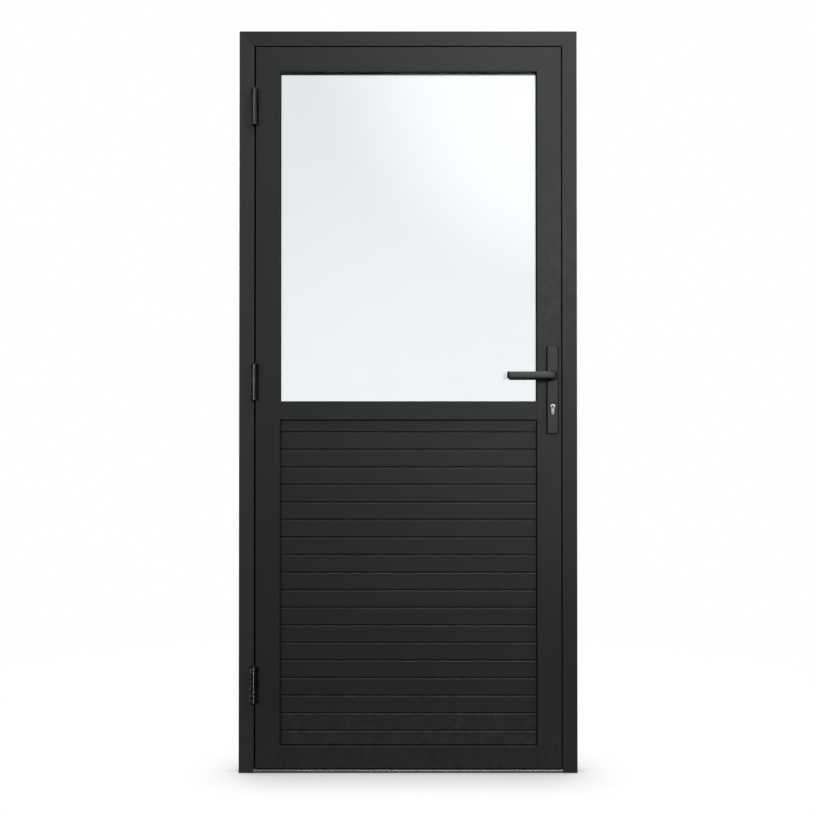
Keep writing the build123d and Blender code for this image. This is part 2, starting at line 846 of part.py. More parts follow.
for place, hinge_height in hinge_heights.items():
    nodes[f"{place}_hinge_frame_half"] = hinge_frame_half(hinge_height)
    nodes[f"{place}_hinge_leaf_half"] = hinge_leaf_half(hinge_height)

os.makedirs("parts", exist_ok=True)
for name, shape in nodes.items():
    export_step(shape, f"parts/{name}.step")
    print(name, round(shape.volume), "mm3")
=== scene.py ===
# %% [markdown]
# # Finishing a slatted front door
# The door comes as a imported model. Its rails, slats, glass and hardware already have their real size and
# their place, in metres, with the threshold's underside on the floor. This lesson adds what the solid model
# leaves out: the finish of each surface, the small parts, the light and the camera.

# %% Load the door
import json
import math

import bmesh
import bpy
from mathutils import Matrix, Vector


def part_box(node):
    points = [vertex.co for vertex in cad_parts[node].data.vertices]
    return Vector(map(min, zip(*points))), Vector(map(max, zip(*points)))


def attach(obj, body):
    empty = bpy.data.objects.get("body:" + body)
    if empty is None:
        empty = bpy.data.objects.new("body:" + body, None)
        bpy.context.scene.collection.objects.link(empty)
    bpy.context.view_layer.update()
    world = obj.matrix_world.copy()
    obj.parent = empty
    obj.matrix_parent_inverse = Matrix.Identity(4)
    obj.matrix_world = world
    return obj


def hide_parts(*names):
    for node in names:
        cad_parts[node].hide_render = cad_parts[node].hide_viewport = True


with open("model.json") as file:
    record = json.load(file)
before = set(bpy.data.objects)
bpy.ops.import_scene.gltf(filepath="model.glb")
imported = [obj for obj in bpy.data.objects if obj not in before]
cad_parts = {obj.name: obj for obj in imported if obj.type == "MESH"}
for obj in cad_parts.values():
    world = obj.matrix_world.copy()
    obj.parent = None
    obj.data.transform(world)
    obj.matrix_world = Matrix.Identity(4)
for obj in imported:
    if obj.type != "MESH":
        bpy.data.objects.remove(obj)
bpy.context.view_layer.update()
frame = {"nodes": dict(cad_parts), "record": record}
nodes = frame["nodes"]

# %% [markdown]
# ## The camera
# A door is photographed from straight ahead, with the camera at half its height. The distance, the height
# and the small upward tilt below put the corners of the frame where the photograph shows them.

# %% Camera
door_face_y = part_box("frame_head")[0].y
camera_offset = -0.0003
camera_distance = 3.3
camera_height = 1.0245
camera_tilt = math.radians(0.5269)
film_width = 36
focal_length = 50.24

bpy.ops.object.select_all(action="DESELECT")
bpy.ops.object.camera_add(
    location=(camera_offset, door_face_y - camera_distance, camera_height),
    rotation=(math.radians(90) + camera_tilt, 0, 0),
)
camera = bpy.context.object
camera.data.sensor_width = film_width
camera.data.lens = focal_length
bpy.context.scene.camera = camera
print("camera at", tuple(round(value, 3) for value in camera.location))

# %% [markdown]
# ## Helpers for node trees
# Every finish is a node tree. These helpers add a node with its settings, join two sockets, calculate with
# two values, mix two colours, press a pattern into a surface, and start a material or a group. The cells
# below then show only what is special about each finish.

# %% Node helpers
def add_node(tree, kind, values=None, **settings):
    """A new node, with its settings and the values of its input sockets."""
    node = tree.nodes.new(kind)
    for name, value in settings.items():
        setattr(node, name, value)
    for name, value in (values or {}).items():
        node.inputs[name].default_value = value
    return node


def join(tree, source, target):
    tree.links.new(source, target)


def fill_socket(tree, socket, value):
    """Give an input either the output of another node or a plain value."""
    if isinstance(value, bpy.types.NodeSocket):
        join(tree, value, socket)
    else:
        socket.default_value = value


def calculate(tree, operation, first, second, **settings):
    """The result of one operation on two values, each of them plain or the output of another node."""
    node = add_node(tree, "ShaderNodeMath", operation=operation, **settings)
    fill_socket(tree, node.inputs[0], first)
    fill_socket(tree, node.inputs[1], second)
    return node.outputs[0]


def mix_colours(tree, share, first, second):
    """Two colours mixed by a share. A Mix node takes colours in its sockets 6 and 7 and gives one in 2."""
    node = add_node(tree, "ShaderNodeMix", data_type="RGBA")
    join(tree, share, node.inputs[0])
    fill_socket(tree, node.inputs[6], first)
    fill_socket(tree, node.inputs[7], second)
    return node.outputs[2]


def press_in(tree, pattern, shader, strength, distance):
    """Let a pattern of heights bend the light on a surface."""
    bump = add_node(tree, "ShaderNodeBump", {"Strength": strength, "Distance": distance})
    join(tree, pattern, bump.inputs["Height"])
    join(tree, bump.outputs["Normal"], shader.inputs["Normal"])


def start_group(name, inputs, outputs):
    """A shader group with named inputs and outputs."""
    group = bpy.data.node_groups.new(name, "ShaderNodeTree")
    for socket_name, kind, value in inputs:
        socket = group.interface.new_socket(name=socket_name, in_out="INPUT", socket_type=kind)
        if value is not None:
            socket.default_value = value
    for socket_name, kind in outputs:
        group.interface.new_socket(name=socket_name, in_out="OUTPUT", socket_type=kind)
    entry = group.nodes.new("NodeGroupInput")
    result = group.nodes.new("NodeGroupOutput")
    print("group:", name)
    return group, entry, result


def place_group(tree, group, values=None):
    """One use of a group in a material, with this material's own values."""
    node = tree.nodes.new("ShaderNodeGroup")
    node.node_tree = group
    for name, value in (values or {}).items():
        node.inputs[name].default_value = value
    return node


def start_material(name, values):
    """A material whose main shader gets the given plain values."""
    material = bpy.data.materials.new(name)
    material.use_nodes = True
    tree = material.node_tree
    shader = tree.nodes["Principled BSDF"]
    for socket_name, value in values.items():
        shader.inputs[socket_name].default_value = value
    coordinates = tree.nodes.new("ShaderNodeTexCoord")
    print("material:", name)
    return material, tree, shader, coordinates.outputs["Object"]


FLOAT = "NodeSocketFloat"
COLOR = "NodeSocketColor"
VECTOR = "NodeSocketVector"

# %% [markdown]
# ## The world and the floor
# The photograph has a white ground with hardly any shadow. The camera, and what is seen through the glass,
# look at a white world, while the light that the world sends to the door is dim, because a dark door
# keeps its depth only when most of the room around it is dark.

# %% World
def seen_directly(tree):
    """1 for what the camera sees, straight or through glass, and 0 for reflections and bounced light."""
    light_path = tree.nodes.new("ShaderNodeLightPath")
    seen = calculate(
        tree, "MAXIMUM", light_path.outputs["Is Camera Ray"], light_path.outputs["Is Transmission Ray"]
    )
    unscattered = calculate(tree, "LESS_THAN", light_path.outputs["Diffuse Depth"], half_a_bounce)
    return calculate(tree, "MULTIPLY", seen, unscattered)


half_a_bounce = 0.5
white = (1, 1, 1, 1)
room_light = 0.012
room_tint = (0.95, 0.975, 1.0, 1)
world = bpy.data.worlds.new("studio_room")
bpy.context.scene.world = world
world.use_nodes = True
room = world.node_tree
room_background = room.nodes["Background"]
room_background.inputs["Color"].default_value = room_tint
room_background.inputs["Strength"].default_value = room_light
white_background = add_node(room, "ShaderNodeBackground", {"Color": white, "Strength": 1.0})
room_mix = room.nodes.new("ShaderNodeMixShader")
join(room, seen_directly(room), room_mix.inputs[0])
join(room, room_background.outputs[0], room_mix.inputs[1])
join(room, white_background.outputs[0], room_mix.inputs[2])
print("the room sends", room_light, "of the white that the camera sees")

# %% [markdown]
# Glass, bare metal and the round hinges look like what they mirror. A studio has a few pale patches for
# that, such as a lit wall or a ceiling. They are drawn into the world by direction. Only light that comes
# out of the glass again meets the two on the wall, and only gloss meets the one on the ceiling, so that
# they don't brighten the matt coat.

# %% Pale patches
sky_direction = room.nodes.new("ShaderNodeTexCoord").outputs["Generated"]


def pale_patch(toward, inner, outer, strength):
    """A soft round patch in one direction, full within the inner angle and gone at the outer one."""
    aim = add_node(room, "ShaderNodeVectorMath", operation="DOT_PRODUCT")
    aim.inputs[1].default_value = Vector(toward).normalized()
    join(room, sky_direction, aim.inputs[0])
    patch = add_node(
        room, "ShaderNodeMapRange",
        {
            "From Min": math.cos(math.radians(outer)),
            "From Max": math.cos(math.radians(inner)),
            "To Max": strength,
        },
        interpolation_type="SMOOTHSTEP",
    )
    join(room, aim.outputs["Value"], patch.inputs["Value"])
    return patch.outputs["Result"]


room_path = room.nodes.new("ShaderNodeLightPath")
wall_patches = calculate(
    room, "ADD",
    pale_patch((0.16, -1, 0.36), inner=2, outer=14, strength=2.7),
    pale_patch((0.10, -1, -0.15), inner=8, outer=27, strength=1.25),
)
ceiling_patch = pale_patch((0, -0.3, 1), inner=10, outer=40, strength=0.5)
mirrored_patches = calculate(
    room, "ADD",
    calculate(room, "MULTIPLY", wall_patches, room_path.outputs["Is Transmission Ray"]),
    calculate(room, "MULTIPLY", ceiling_patch, room_path.outputs["Is Glossy Ray"]),
)
patch_background = add_node(room, "ShaderNodeBackground", {"Color": white})
join(room, mirrored_patches, patch_background.inputs["Strength"])
room_sum = room.nodes.new("ShaderNodeAddShader")
join(room, room_mix.outputs[0], room_sum.inputs[0])
join(room, patch_background.outputs[0], room_sum.inputs[1])
join(room, room_sum.outputs[0], room.nodes["World Output"].inputs["Surface"])
print("the world has", len(room.nodes), "nodes")

# %% [markdown]
# The floor is a plain pale sheet. Right under the door it is a little darker, where the door shades it
# from most of the room, and an ambient occlusion node measures that. Further out the floor fades into the
# white of the world, so that no edge or horizon shows.

# %% Floor
contact_reach = 0.25
contact_tones = [(0.42, 0.42), (0.5, 0.52), (0.6, 0.7), (0.76, 0.8), (0.9, 0.93), (1.0, 1.0)]
floor_fade_start = 0.9
floor_fade_end = 2.4
floor_width = 12
floor_drop = 0.0005
bpy.ops.mesh.primitive_plane_add(size=floor_width, location=(0, 0, -floor_drop))
floor = bpy.context.object
floor.name = "studio_floor"

floor_material, floor_tree, floor_shader, floor_place = start_material(
    "pale_floor", {"Base Color": (0.03, 0.03, 0.03, 1), "Roughness": 0.9, "Specular IOR Level": 0.0}
)
contact = add_node(floor_tree, "ShaderNodeAmbientOcclusion", {"Distance": contact_reach}, samples=16)
contact_shade = floor_tree.nodes.new("ShaderNodeValToRGB")
tone_stops = contact_shade.color_ramp.elements
while len(tone_stops) < len(contact_tones):
    tone_stops.new(0.5)
for stop, (openness, tone) in zip(tone_stops, contact_tones):
    stop.position = openness
    stop.color = (tone, tone, tone, 1)
join(floor_tree, contact.outputs["AO"], contact_shade.inputs["Fac"])
glow = add_node(floor_tree, "ShaderNodeEmission", {"Color": white})
glow_strength = calculate(floor_tree, "MULTIPLY", seen_directly(floor_tree), contact_shade.outputs["Color"])
join(floor_tree, glow_strength, glow.inputs["Strength"])
lit_floor = floor_tree.nodes.new("ShaderNodeAddShader")
join(floor_tree, floor_shader.outputs[0], lit_floor.inputs[0])
join(floor_tree, glow.outputs[0], lit_floor.inputs[1])
reach = add_node(floor_tree, "ShaderNodeVectorMath", operation="LENGTH")
join(floor_tree, floor_place, reach.inputs[0])
fade = add_node(
    floor_tree, "ShaderNodeMapRange", {"From Min": floor_fade_start, "From Max": floor_fade_end},
    interpolation_type="SMOOTHSTEP",
)
join(floor_tree, reach.outputs["Value"], fade.inputs["Value"])
clear_floor = floor_tree.nodes.new("ShaderNodeBsdfTransparent")
floor_mix = floor_tree.nodes.new("ShaderNodeMixShader")
join(floor_tree, fade.outputs["Result"], floor_mix.inputs[0])
join(floor_tree, lit_floor.outputs[0], floor_mix.inputs[1])
join(floor_tree, clear_floor.outputs[0], floor_mix.inputs[2])
join(floor_tree, floor_mix.outputs[0], floor_tree.nodes["Material Output"].inputs["Surface"])
floor.data.materials.append(floor_material)

# %% [markdown]
# ## The lights
# The door is brightest at its upper right corner and darkest at its lower left, which puts a soft key
# light far in front, to the right and high up. The slopes of the grooves and the top of the lever are
# brighter still, so a second light hangs over the door. Two weaker ones at the sides and one behind the
# door show its other faces. None of them is seen through the glass.

# %% Lights
def soft_light(name, place, target, size, power, height=None):
    """A soft light at a place, turned to a target and unseen itself, square unless it has a height."""
    bpy.ops.object.select_all(action="DESELECT")
    bpy.ops.object.light_add(type="AREA", location=place)
    light = bpy.context.object
    light.name = name
    light.data.shape = "RECTANGLE"
    light.data.size = size
    light.data.size_y = height or size
    light.data.energy = power
    light.rotation_euler = (Vector(target) - Vector(place)).to_track_quat("-Z", "Y").to_euler()
    light.visible_camera = False
    light.visible_transmission = False
    print(name, "at", place, "with", power, "W")
    return light


room_lights = [
    soft_light("key_light", (1.681, -6.0, 2.393), (1.6, 0.0, 0.617), size=1.0, power=144),
    soft_light("top_light", (0.495, -0.69, 3.3), (0.297, 0.0, 0.9), size=0.9, power=23.8),
    soft_light("left_light", (-4.4, -3.4, 2.4), (0, 0, 1.7), size=1.5, power=66),
    soft_light("right_light", (4.6, -2.4, 3.1), (0, 0, 1.6), size=1.5, power=60),
    soft_light("inside_light", (-1.6, 3.4, 2.6), (0, 0, 1.1), size=1.2, power=150),
]

# %% [markdown]
# Light linking chooses what a light reaches. Clean panes would mirror the lamps as hard white squares, so
# the lights above leave them out. A narrow strip draws a line of gloss down the round hinges and reaches
# nothing else, and two lamps in line with the frame show only the outer faces of its jambs.

# %% Light linking
def only_for(light, name, members):
    """Let a light reach only some nodes of the door."""
    group = bpy.data.collections.new(name)
    for member in members:
        group.objects.link(nodes[member])
    light.light_linking.receiver_collection = group


pane_group = bpy.data.collections.new("panes_without_lamps")
for name in ("glass_outer_pane", "glass_inner_pane"):
    pane_group.objects.link(nodes[name])
for pane in pane_group.collection_objects:
    pane.light_linking.link_state = "EXCLUDE"
for light in room_lights:
    light.light_linking.receiver_collection = pane_group

hinge_axis = (-0.4445, -0.0355)
strip_height = 1.21
strip_light = soft_light(
    "strip_light", (-0.649, -0.492, strip_height), (*hinge_axis, strip_height),
    size=0.046, power=21, height=2.38,
)
strip_light.visible_diffuse = False
hinge_halves = [name for name in nodes if name.endswith(("_hinge_frame_half", "_hinge_leaf_half"))]
only_for(strip_light, "hinges_in_the_strip_light", hinge_halves)
side_distance = 5
frame_half_width = 0.49
for name, side in (("hinge_side_light", -1), ("lock_side_light", 1)):
    side_light = soft_light(
        name, (side * side_distance, 0.6, 1.4), (side * frame_half_width, 0, 1.1), size=1.5, power=60
    )
    only_for(side_light, f"jambs_in_the_{name}", ["frame_hinge_jamb", "frame_lock_jamb"])
bpy.context.scene.view_settings.view_transform = "Standard"

# %% [markdown]
# ## Shared surface effects
# Powder coat covers most of this door. Close up it has a fine orange peel, the tone drifts a little over
# a long profile, and sharp edges are lighter, partly from wear of a thinner coat and partly as a painted
# highlight. Each effect is a group that several finishes use.

# %% Coat skin
coat_skin, entry, result = start_group(
    "coat_skin",
    [
        ("Place", VECTOR, None),
        ("Colour", COLOR, (0.03, 0.03, 0.03, 1)),
        ("Drift", FLOAT, 0.05),
        ("Peel Size", FLOAT, 0.0014),
        ("Smooth", FLOAT, 0.36),
        ("Rough", FLOAT, 0.48),
    ],
    [("Colour", COLOR), ("Roughness", FLOAT), ("Height", FLOAT)],
)
peel_scale = calculate(coat_skin, "DIVIDE", 1.0, entry.outputs["Peel Size"])
peel = add_node(coat_skin, "ShaderNodeTexNoise", {"Detail": 1.5, "Roughness": 0.45})
join(coat_skin, entry.outputs["Place"], peel.inputs["Vector"])
join(coat_skin, peel_scale, peel.inputs["Scale"])
join(coat_skin, peel.outputs["Fac"], result.inputs["Height"])

broad = add_node(coat_skin, "ShaderNodeTexNoise", {"Scale": 3.5, "Detail": 4.0, "Roughness": 0.55})
join(coat_skin, entry.outputs["Place"], broad.inputs["Vector"])
drifting = add_node(coat_skin, "ShaderNodeMapRange", {"From Min": 0.3, "From Max": 0.7})
join(coat_skin, broad.outputs["Fac"], drifting.inputs["Value"])
join(coat_skin, calculate(coat_skin, "SUBTRACT", 1.0, entry.outputs["Drift"]), drifting.inputs["To Min"])
join(coat_skin, calculate(coat_skin, "ADD", 1.0, entry.outputs["Drift"]), drifting.inputs["To Max"])
toned = add_node(coat_skin, "ShaderNodeVectorMath", operation="SCALE")
join(coat_skin, entry.outputs["Colour"], toned.inputs[0])
join(coat_skin, drifting.outputs["Result"], toned.inputs["Scale"])
join(coat_skin, toned.outputs[0], result.inputs["Colour"])

mottle = add_node(coat_skin, "ShaderNodeTexNoise", {"Scale": 55.0, "Detail": 3.0, "Roughness": 0.6})
join(coat_skin, entry.outputs["Place"], mottle.inputs["Vector"])
sheen = add_node(coat_skin, "ShaderNodeMapRange", {"From Min": 0.3, "From Max": 0.7})
join(coat_skin, mottle.outputs["Fac"], sheen.inputs["Value"])
join(coat_skin, entry.outputs["Smooth"], sheen.inputs["To Min"])
join(coat_skin, entry.outputs["Rough"], sheen.inputs["To Max"])
join(coat_skin, sheen.outputs["Result"], result.inputs["Roughness"])

# %% [markdown]
# Sharp edges are made lighter: partly wear, where the coat is thinner and gets rubbed, and partly a painted
# highlight where light catches the edge. A Bevel node rounds the surface for a moment: where the rounded
# direction leaves the true one, there is an edge. Noise breaks the line up, as real wear does.

# %% Worn and lit edges
worn_and_lit_edges, entry, result = start_group(
    "worn_and_lit_edges",
    [("Place", VECTOR, None), ("Reach", FLOAT, 0.001), ("Break", FLOAT, 60.0)],
    [("Mask", FLOAT)],
)
rounded = add_node(worn_and_lit_edges, "ShaderNodeBevel", samples=4)
join(worn_and_lit_edges, entry.outputs["Reach"], rounded.inputs["Radius"])
true_surface = worn_and_lit_edges.nodes.new("ShaderNodeNewGeometry")
facing = add_node(worn_and_lit_edges, "ShaderNodeVectorMath", operation="DOT_PRODUCT")
join(worn_and_lit_edges, rounded.outputs["Normal"], facing.inputs[0])
join(worn_and_lit_edges, true_surface.outputs["Normal"], facing.inputs[1])
corner = add_node(
    worn_and_lit_edges, "ShaderNodeMapRange", {"From Min": 0.99, "From Max": 0.8, "To Min": 0.0, "To Max": 1.0}
)
join(worn_and_lit_edges, facing.outputs["Value"], corner.inputs["Value"])
broken = add_node(worn_and_lit_edges, "ShaderNodeTexNoise", {"Detail": 3.0})
join(worn_and_lit_edges, entry.outputs["Place"], broken.inputs["Vector"])
join(worn_and_lit_edges, entry.outputs["Break"], broken.inputs["Scale"])
broken_range = add_node(worn_and_lit_edges, "ShaderNodeMapRange", {"From Min": 0.35, "From Max": 0.6})
join(worn_and_lit_edges, broken.outputs["Fac"], broken_range.inputs["Value"])
wear_and_highlight_mask = calculate(worn_and_lit_edges, "MULTIPLY", corner.outputs["Result"], broken_range.outputs["Result"])
join(worn_and_lit_edges, wear_and_highlight_mask, result.inputs["Mask"])

# %% [markdown]
# Dust gathers on faces that look up and near the floor, so its mask comes from the normal and the height.
# Faces that look up get it more strongly, partly as a painted highlight for the light that falls on them from
# above.

# %% Dust and painted top light
dust_and_painted_top_light, entry, result = start_group(
    "dust_and_painted_top_light",
    [("Place", VECTOR, None), ("Top of Dust", FLOAT, 0.25), ("Amount", FLOAT, 0.2)],
    [("Mask", FLOAT)],
)
place_parts = add_node(dust_and_painted_top_light, "ShaderNodeSeparateXYZ")
join(dust_and_painted_top_light, entry.outputs["Place"], place_parts.inputs[0])
low_part = add_node(dust_and_painted_top_light, "ShaderNodeMapRange", {"From Min": 0.0, "To Min": 1.0, "To Max": 0.0})
join(dust_and_painted_top_light, place_parts.outputs["Z"], low_part.inputs["Value"])
join(dust_and_painted_top_light, entry.outputs["Top of Dust"], low_part.inputs["From Max"])
surface = dust_and_painted_top_light.nodes.new("ShaderNodeNewGeometry")
slope = add_node(dust_and_painted_top_light, "ShaderNodeSeparateXYZ")
join(dust_and_painted_top_light, surface.outputs["Normal"], slope.inputs[0])
# Upward faces get up to 2.4 times the mask: dust, and a painted highlight from above.
upward_dust_and_light = add_node(dust_and_painted_top_light, "ShaderNodeMapRange", {"From Min": 0.5, "From Max": 1.0, "To Max": 2.4})
join(dust_and_painted_top_light, slope.outputs["Z"], upward_dust_and_light.inputs["Value"])
settled = calculate(dust_and_painted_top_light, "ADD", low_part.outputs["Result"], upward_dust_and_light.outputs["Result"])
grains = add_node(dust_and_painted_top_light, "ShaderNodeTexNoise", {"Scale": 38.0, "Detail": 6.0, "Roughness": 0.7})
join(dust_and_painted_top_light, entry.outputs["Place"], grains.inputs["Vector"])
clumps = add_node(dust_and_painted_top_light, "ShaderNodeMapRange", {"From Min": 0.35, "From Max": 0.75})
join(dust_and_painted_top_light, grains.outputs["Fac"], clumps.inputs["Value"])
patchy = calculate(dust_and_painted_top_light, "MULTIPLY", settled, clumps.outputs["Result"])
amount = calculate(dust_and_painted_top_light, "MULTIPLY", patchy, entry.outputs["Amount"], use_clamp=True)
join(dust_and_painted_top_light, amount, result.inputs["Mask"])

# %% [markdown]
# The grooves between the slats are painted darker, as painted shade for the shadow deep in them. The painted
# shade starts behind the chamfers and stays off the inner face of the panel, so its mask is a band of depth
# behind the outer face.

# %% Painted groove shade
shade_edge = 0.0008
shade_reach = 0.0075
groove_painted_shade, entry, result = start_group(
    "groove_painted_shade", [("Place", VECTOR, None), ("Groove", FLOAT, 0.0)], [("Mask", FLOAT)]
)
depth_of = add_node(groove_painted_shade, "ShaderNodeSeparateXYZ")
join(groove_painted_shade, entry.outputs["Place"], depth_of.inputs[0])
behind = calculate(groove_painted_shade, "SUBTRACT", depth_of.outputs["Y"], entry.outputs["Groove"])
shade_depth = add_node(
    groove_painted_shade, "ShaderNodeMapRange", {"From Min": 0.0, "From Max": shade_edge, "To Max": 0.9}
)
join(groove_painted_shade, behind, shade_depth.inputs["Value"])
in_groove = calculate(groove_painted_shade, "LESS_THAN", behind, shade_reach)
shade_band = calculate(groove_painted_shade, "MULTIPLY", shade_depth.outputs["Result"], in_groove)
join(groove_painted_shade, shade_band, result.inputs["Mask"])

# %% [markdown]
# The coat of a hinge is rubbed duller on the barrel by hands and cloths, while the flat wings keep their
# gloss and mirror the dark room. The distance from the hinge's axis tells the two apart.

# %% Barrel wear
barrel_ends = 0.0074
wing_starts = 0.0078
barrel_wear, entry, result = start_group(
    "barrel_wear",
    [
        ("Place", VECTOR, None),
        ("Axis X", FLOAT, 0.0),
        ("Axis Y", FLOAT, 0.0),
        ("Barrel", FLOAT, 0.3),
        ("Wing", FLOAT, 0.19),
    ],
    [("Roughness", FLOAT)],
)
axis_place = barrel_wear.nodes.new("ShaderNodeCombineXYZ")
join(barrel_wear, entry.outputs["Axis X"], axis_place.inputs["X"])
join(barrel_wear, entry.outputs["Axis Y"], axis_place.inputs["Y"])
flat_place = add_node(barrel_wear, "ShaderNodeVectorMath", operation="MULTIPLY")
flat_place.inputs[1].default_value = (1, 1, 0)
join(barrel_wear, entry.outputs["Place"], flat_place.inputs[0])
from_axis = add_node(barrel_wear, "ShaderNodeVectorMath", operation="DISTANCE")
join(barrel_wear, flat_place.outputs[0], from_axis.inputs[0])
join(barrel_wear, axis_place.outputs[0], from_axis.inputs[1])
gloss_change = add_node(
    barrel_wear, "ShaderNodeMapRange", {"From Min": barrel_ends, "From Max": wing_starts}
)
join(barrel_wear, from_axis.outputs["Value"], gloss_change.inputs["Value"])
join(barrel_wear, entry.outputs["Barrel"], gloss_change.inputs["To Min"])
join(barrel_wear, entry.outputs["Wing"], gloss_change.inputs["To Max"])
join(barrel_wear, gloss_change.outputs["Result"], result.inputs["Roughness"])

# %% [markdown]
# Bare metal shows the tool that finished it: fine parallel scratches. The place is squeezed along one
# direction by each material, so the noise becomes long streaks.

# %% Brushed grain
brushed_grain, entry, result = start_group(
    "brushed_grain",
    [
        ("Place", VECTOR, None),
        ("Dark", COLOR, (0.3, 0.3, 0.3, 1)),
        ("Light", COLOR, (0.5, 0.5, 0.5, 1)),
        ("Smooth", FLOAT, 0.25),
        ("Rough", FLOAT, 0.42),
    ],
    [("Colour", COLOR), ("Roughness", FLOAT), ("Height", FLOAT)],
)
streaks = add_node(brushed_grain, "ShaderNodeTexNoise", {"Scale": 1.0, "Detail": 5.0, "Roughness": 0.7})
join(brushed_grain, entry.outputs["Place"], streaks.inputs["Vector"])
streak_tone = add_node(brushed_grain, "ShaderNodeMapRange", {"From Min": 0.3, "From Max": 0.7})
join(brushed_grain, streaks.outputs["Fac"], streak_tone.inputs["Value"])
metal = mix_colours(
    brushed_grain, streak_tone.outputs["Result"], entry.outputs["Dark"], entry.outputs["Light"]
)
join(brushed_grain, metal, result.inputs["Colour"])
streak_gloss = add_node(brushed_grain, "ShaderNodeMapRange")
join(brushed_grain, streak_tone.outputs["Result"], streak_gloss.inputs["Value"])
join(brushed_grain, entry.outputs["Smooth"], streak_gloss.inputs["To Max"])
join(brushed_grain, entry.outputs["Rough"], streak_gloss.inputs["To Min"])
join(brushed_grain, streak_gloss.outputs["Result"], result.inputs["Roughness"])
join(brushed_grain, streaks.outputs["Fac"], result.inputs["Height"])

# %% [markdown]
# ## The finishes
# One function makes every powder coated finish, because the profiles, the slats, the handles and the
# hinges differ only in tone, gloss and grain.

# %% Powder coat
# Sharp edges are lightened this many times, for wear and as a painted highlight.
edge_wear_and_highlight_gain = 2.2
# A pale grey, for dust and for the painted highlight on upward faces.
dust_and_top_light_colour = (0.19, 0.18, 0.165, 1)
# Near black, for the painted shade in the grooves between the slats.
groove_shade_colour = (0.004, 0.004, 0.004, 1)


def coated_finish(
    name, colour, peel_size=0.0014, smooth=0.47, rough=0.53, dust_and_top_light_amount=0.12, peel_depth=0.00007, specular=0.3,
    groove_y=None, barrel_axis=None,
):
    """Powder coated metal: orange peel, drifting tone, edges lighter from wear and as a painted highlight,
    dust with a painted highlight on upward faces, painted shade in the grooves, worn barrels.
    """
    material, tree, shader, place = start_material(name, {"Metallic": 0.0, "Specular IOR Level": specular})
    skin = place_group(
        tree, coat_skin, {"Colour": (*colour, 1), "Peel Size": peel_size, "Smooth": smooth, "Rough": rough}
    )
    edges = place_group(tree, worn_and_lit_edges)
    dust_and_top_light = place_group(tree, dust_and_painted_top_light, {"Amount": dust_and_top_light_amount})
    for group in (skin, edges, dust_and_top_light):
        join(tree, place, group.inputs["Place"])
    # Lighter edges: worn coat and a painted edge highlight.
    worn_and_lit_edge_colour = (*(channel * edge_wear_and_highlight_gain for channel in colour), 1)
    surface_colour = mix_colours(tree, edges.outputs["Mask"], skin.outputs["Colour"], worn_and_lit_edge_colour)
    # Dust, and on upward faces a painted highlight from above.
    surface_colour = mix_colours(tree, dust_and_top_light.outputs["Mask"], surface_colour, dust_and_top_light_colour)
    # The grooves get painted shade: a band of near black behind the slats' outer face.
    if groove_y is not None:
        groove_shade_node = place_group(tree, groove_painted_shade, {"Groove": groove_y})
        join(tree, place, groove_shade_node.inputs["Place"])
        surface_colour = mix_colours(tree, groove_shade_node.outputs["Mask"], surface_colour, groove_shade_colour)
    join(tree, surface_colour, shader.inputs["Base Color"])
    gloss = skin.outputs["Roughness"]
    if barrel_axis is not None:
        wear = place_group(tree, barrel_wear, {"Axis X": barrel_axis[0], "Axis Y": barrel_axis[1]})
        join(tree, place, wear.inputs["Place"])
        join(tree, gloss, wear.inputs["Barrel"])
        gloss = wear.outputs["Roughness"]
    join(tree, gloss, shader.inputs["Roughness"])
    press_in(tree, skin.outputs["Height"], shader, strength=0.5, distance=peel_depth)
    return material


coat_colour = (0.0213, 0.023, 0.0232)
groove_start = 0.0031
leaf_coat = coated_finish("leaf_coat", coat_colour)
frame_coat = coated_finish("frame_coat", coat_colour)
hinge_jamb_coat = coated_finish("hinge_jamb_coat", (0.0318, 0.0334, 0.0329))
slat_coat = coated_finish("slat_coat", coat_colour, dust_and_top_light_amount=0.2, groove_y=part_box("slat_02")[0].y + groove_start)
handle_coat = coated_finish("handle_coat", (0.0405, 0.042, 0.0428), peel_size=0.0008)
# The lever's coat is a lighter copy of the handle's, painted light for the light that the lever catches.
lever_coat_painted_lighter = coated_finish("lever_coat_painted_lighter", (0.076, 0.078, 0.079), peel_size=0.0008, smooth=0.44, rough=0.52)
hinge_coat = coated_finish(
    "hinge_coat", (0.005, 0.0052, 0.0054), peel_size=0.001, smooth=0.31, rough=0.34, dust_and_top_light_amount=0.03,
    peel_depth=0.00002, specular=0.25, barrel_axis=hinge_axis,
)

# %% [markdown]
# Rubber is nearly black and dull, with a grain finer than that of the coat. The skin group makes it too,
# with other values, and the spacer between the panes takes the same helper further down.

# %% Rubber
def dark_finish(name, specular, skin_values):
    """A dull dark material, with its tree, its shader, its skin and the place on the piece."""
    material, tree, shader, place = start_material(name, {"Metallic": 0.0, "Specular IOR Level": specular})
    skin = place_group(tree, coat_skin, skin_values)
    join(tree, place, skin.inputs["Place"])
    join(tree, skin.outputs["Colour"], shader.inputs["Base Color"])
    join(tree, skin.outputs["Roughness"], shader.inputs["Roughness"])
    return material, tree, shader, skin, place


rubber, rubber_tree, rubber_shader, rubber_skin, _ = dark_finish(
    "black_rubber", 0.2,
    {"Colour": (0.006, 0.006, 0.0062, 1), "Drift": 0.25, "Peel Size": 0.0006, "Smooth": 0.6, "Rough": 0.78},
)
press_in(rubber_tree, rubber_skin.outputs["Height"], rubber_shader, strength=0.6, distance=0.00005)

# %% [markdown]
# Float glass is almost clear. Its faint blue-green comes from the glass itself, and a very slow waviness
# bends what it reflects.

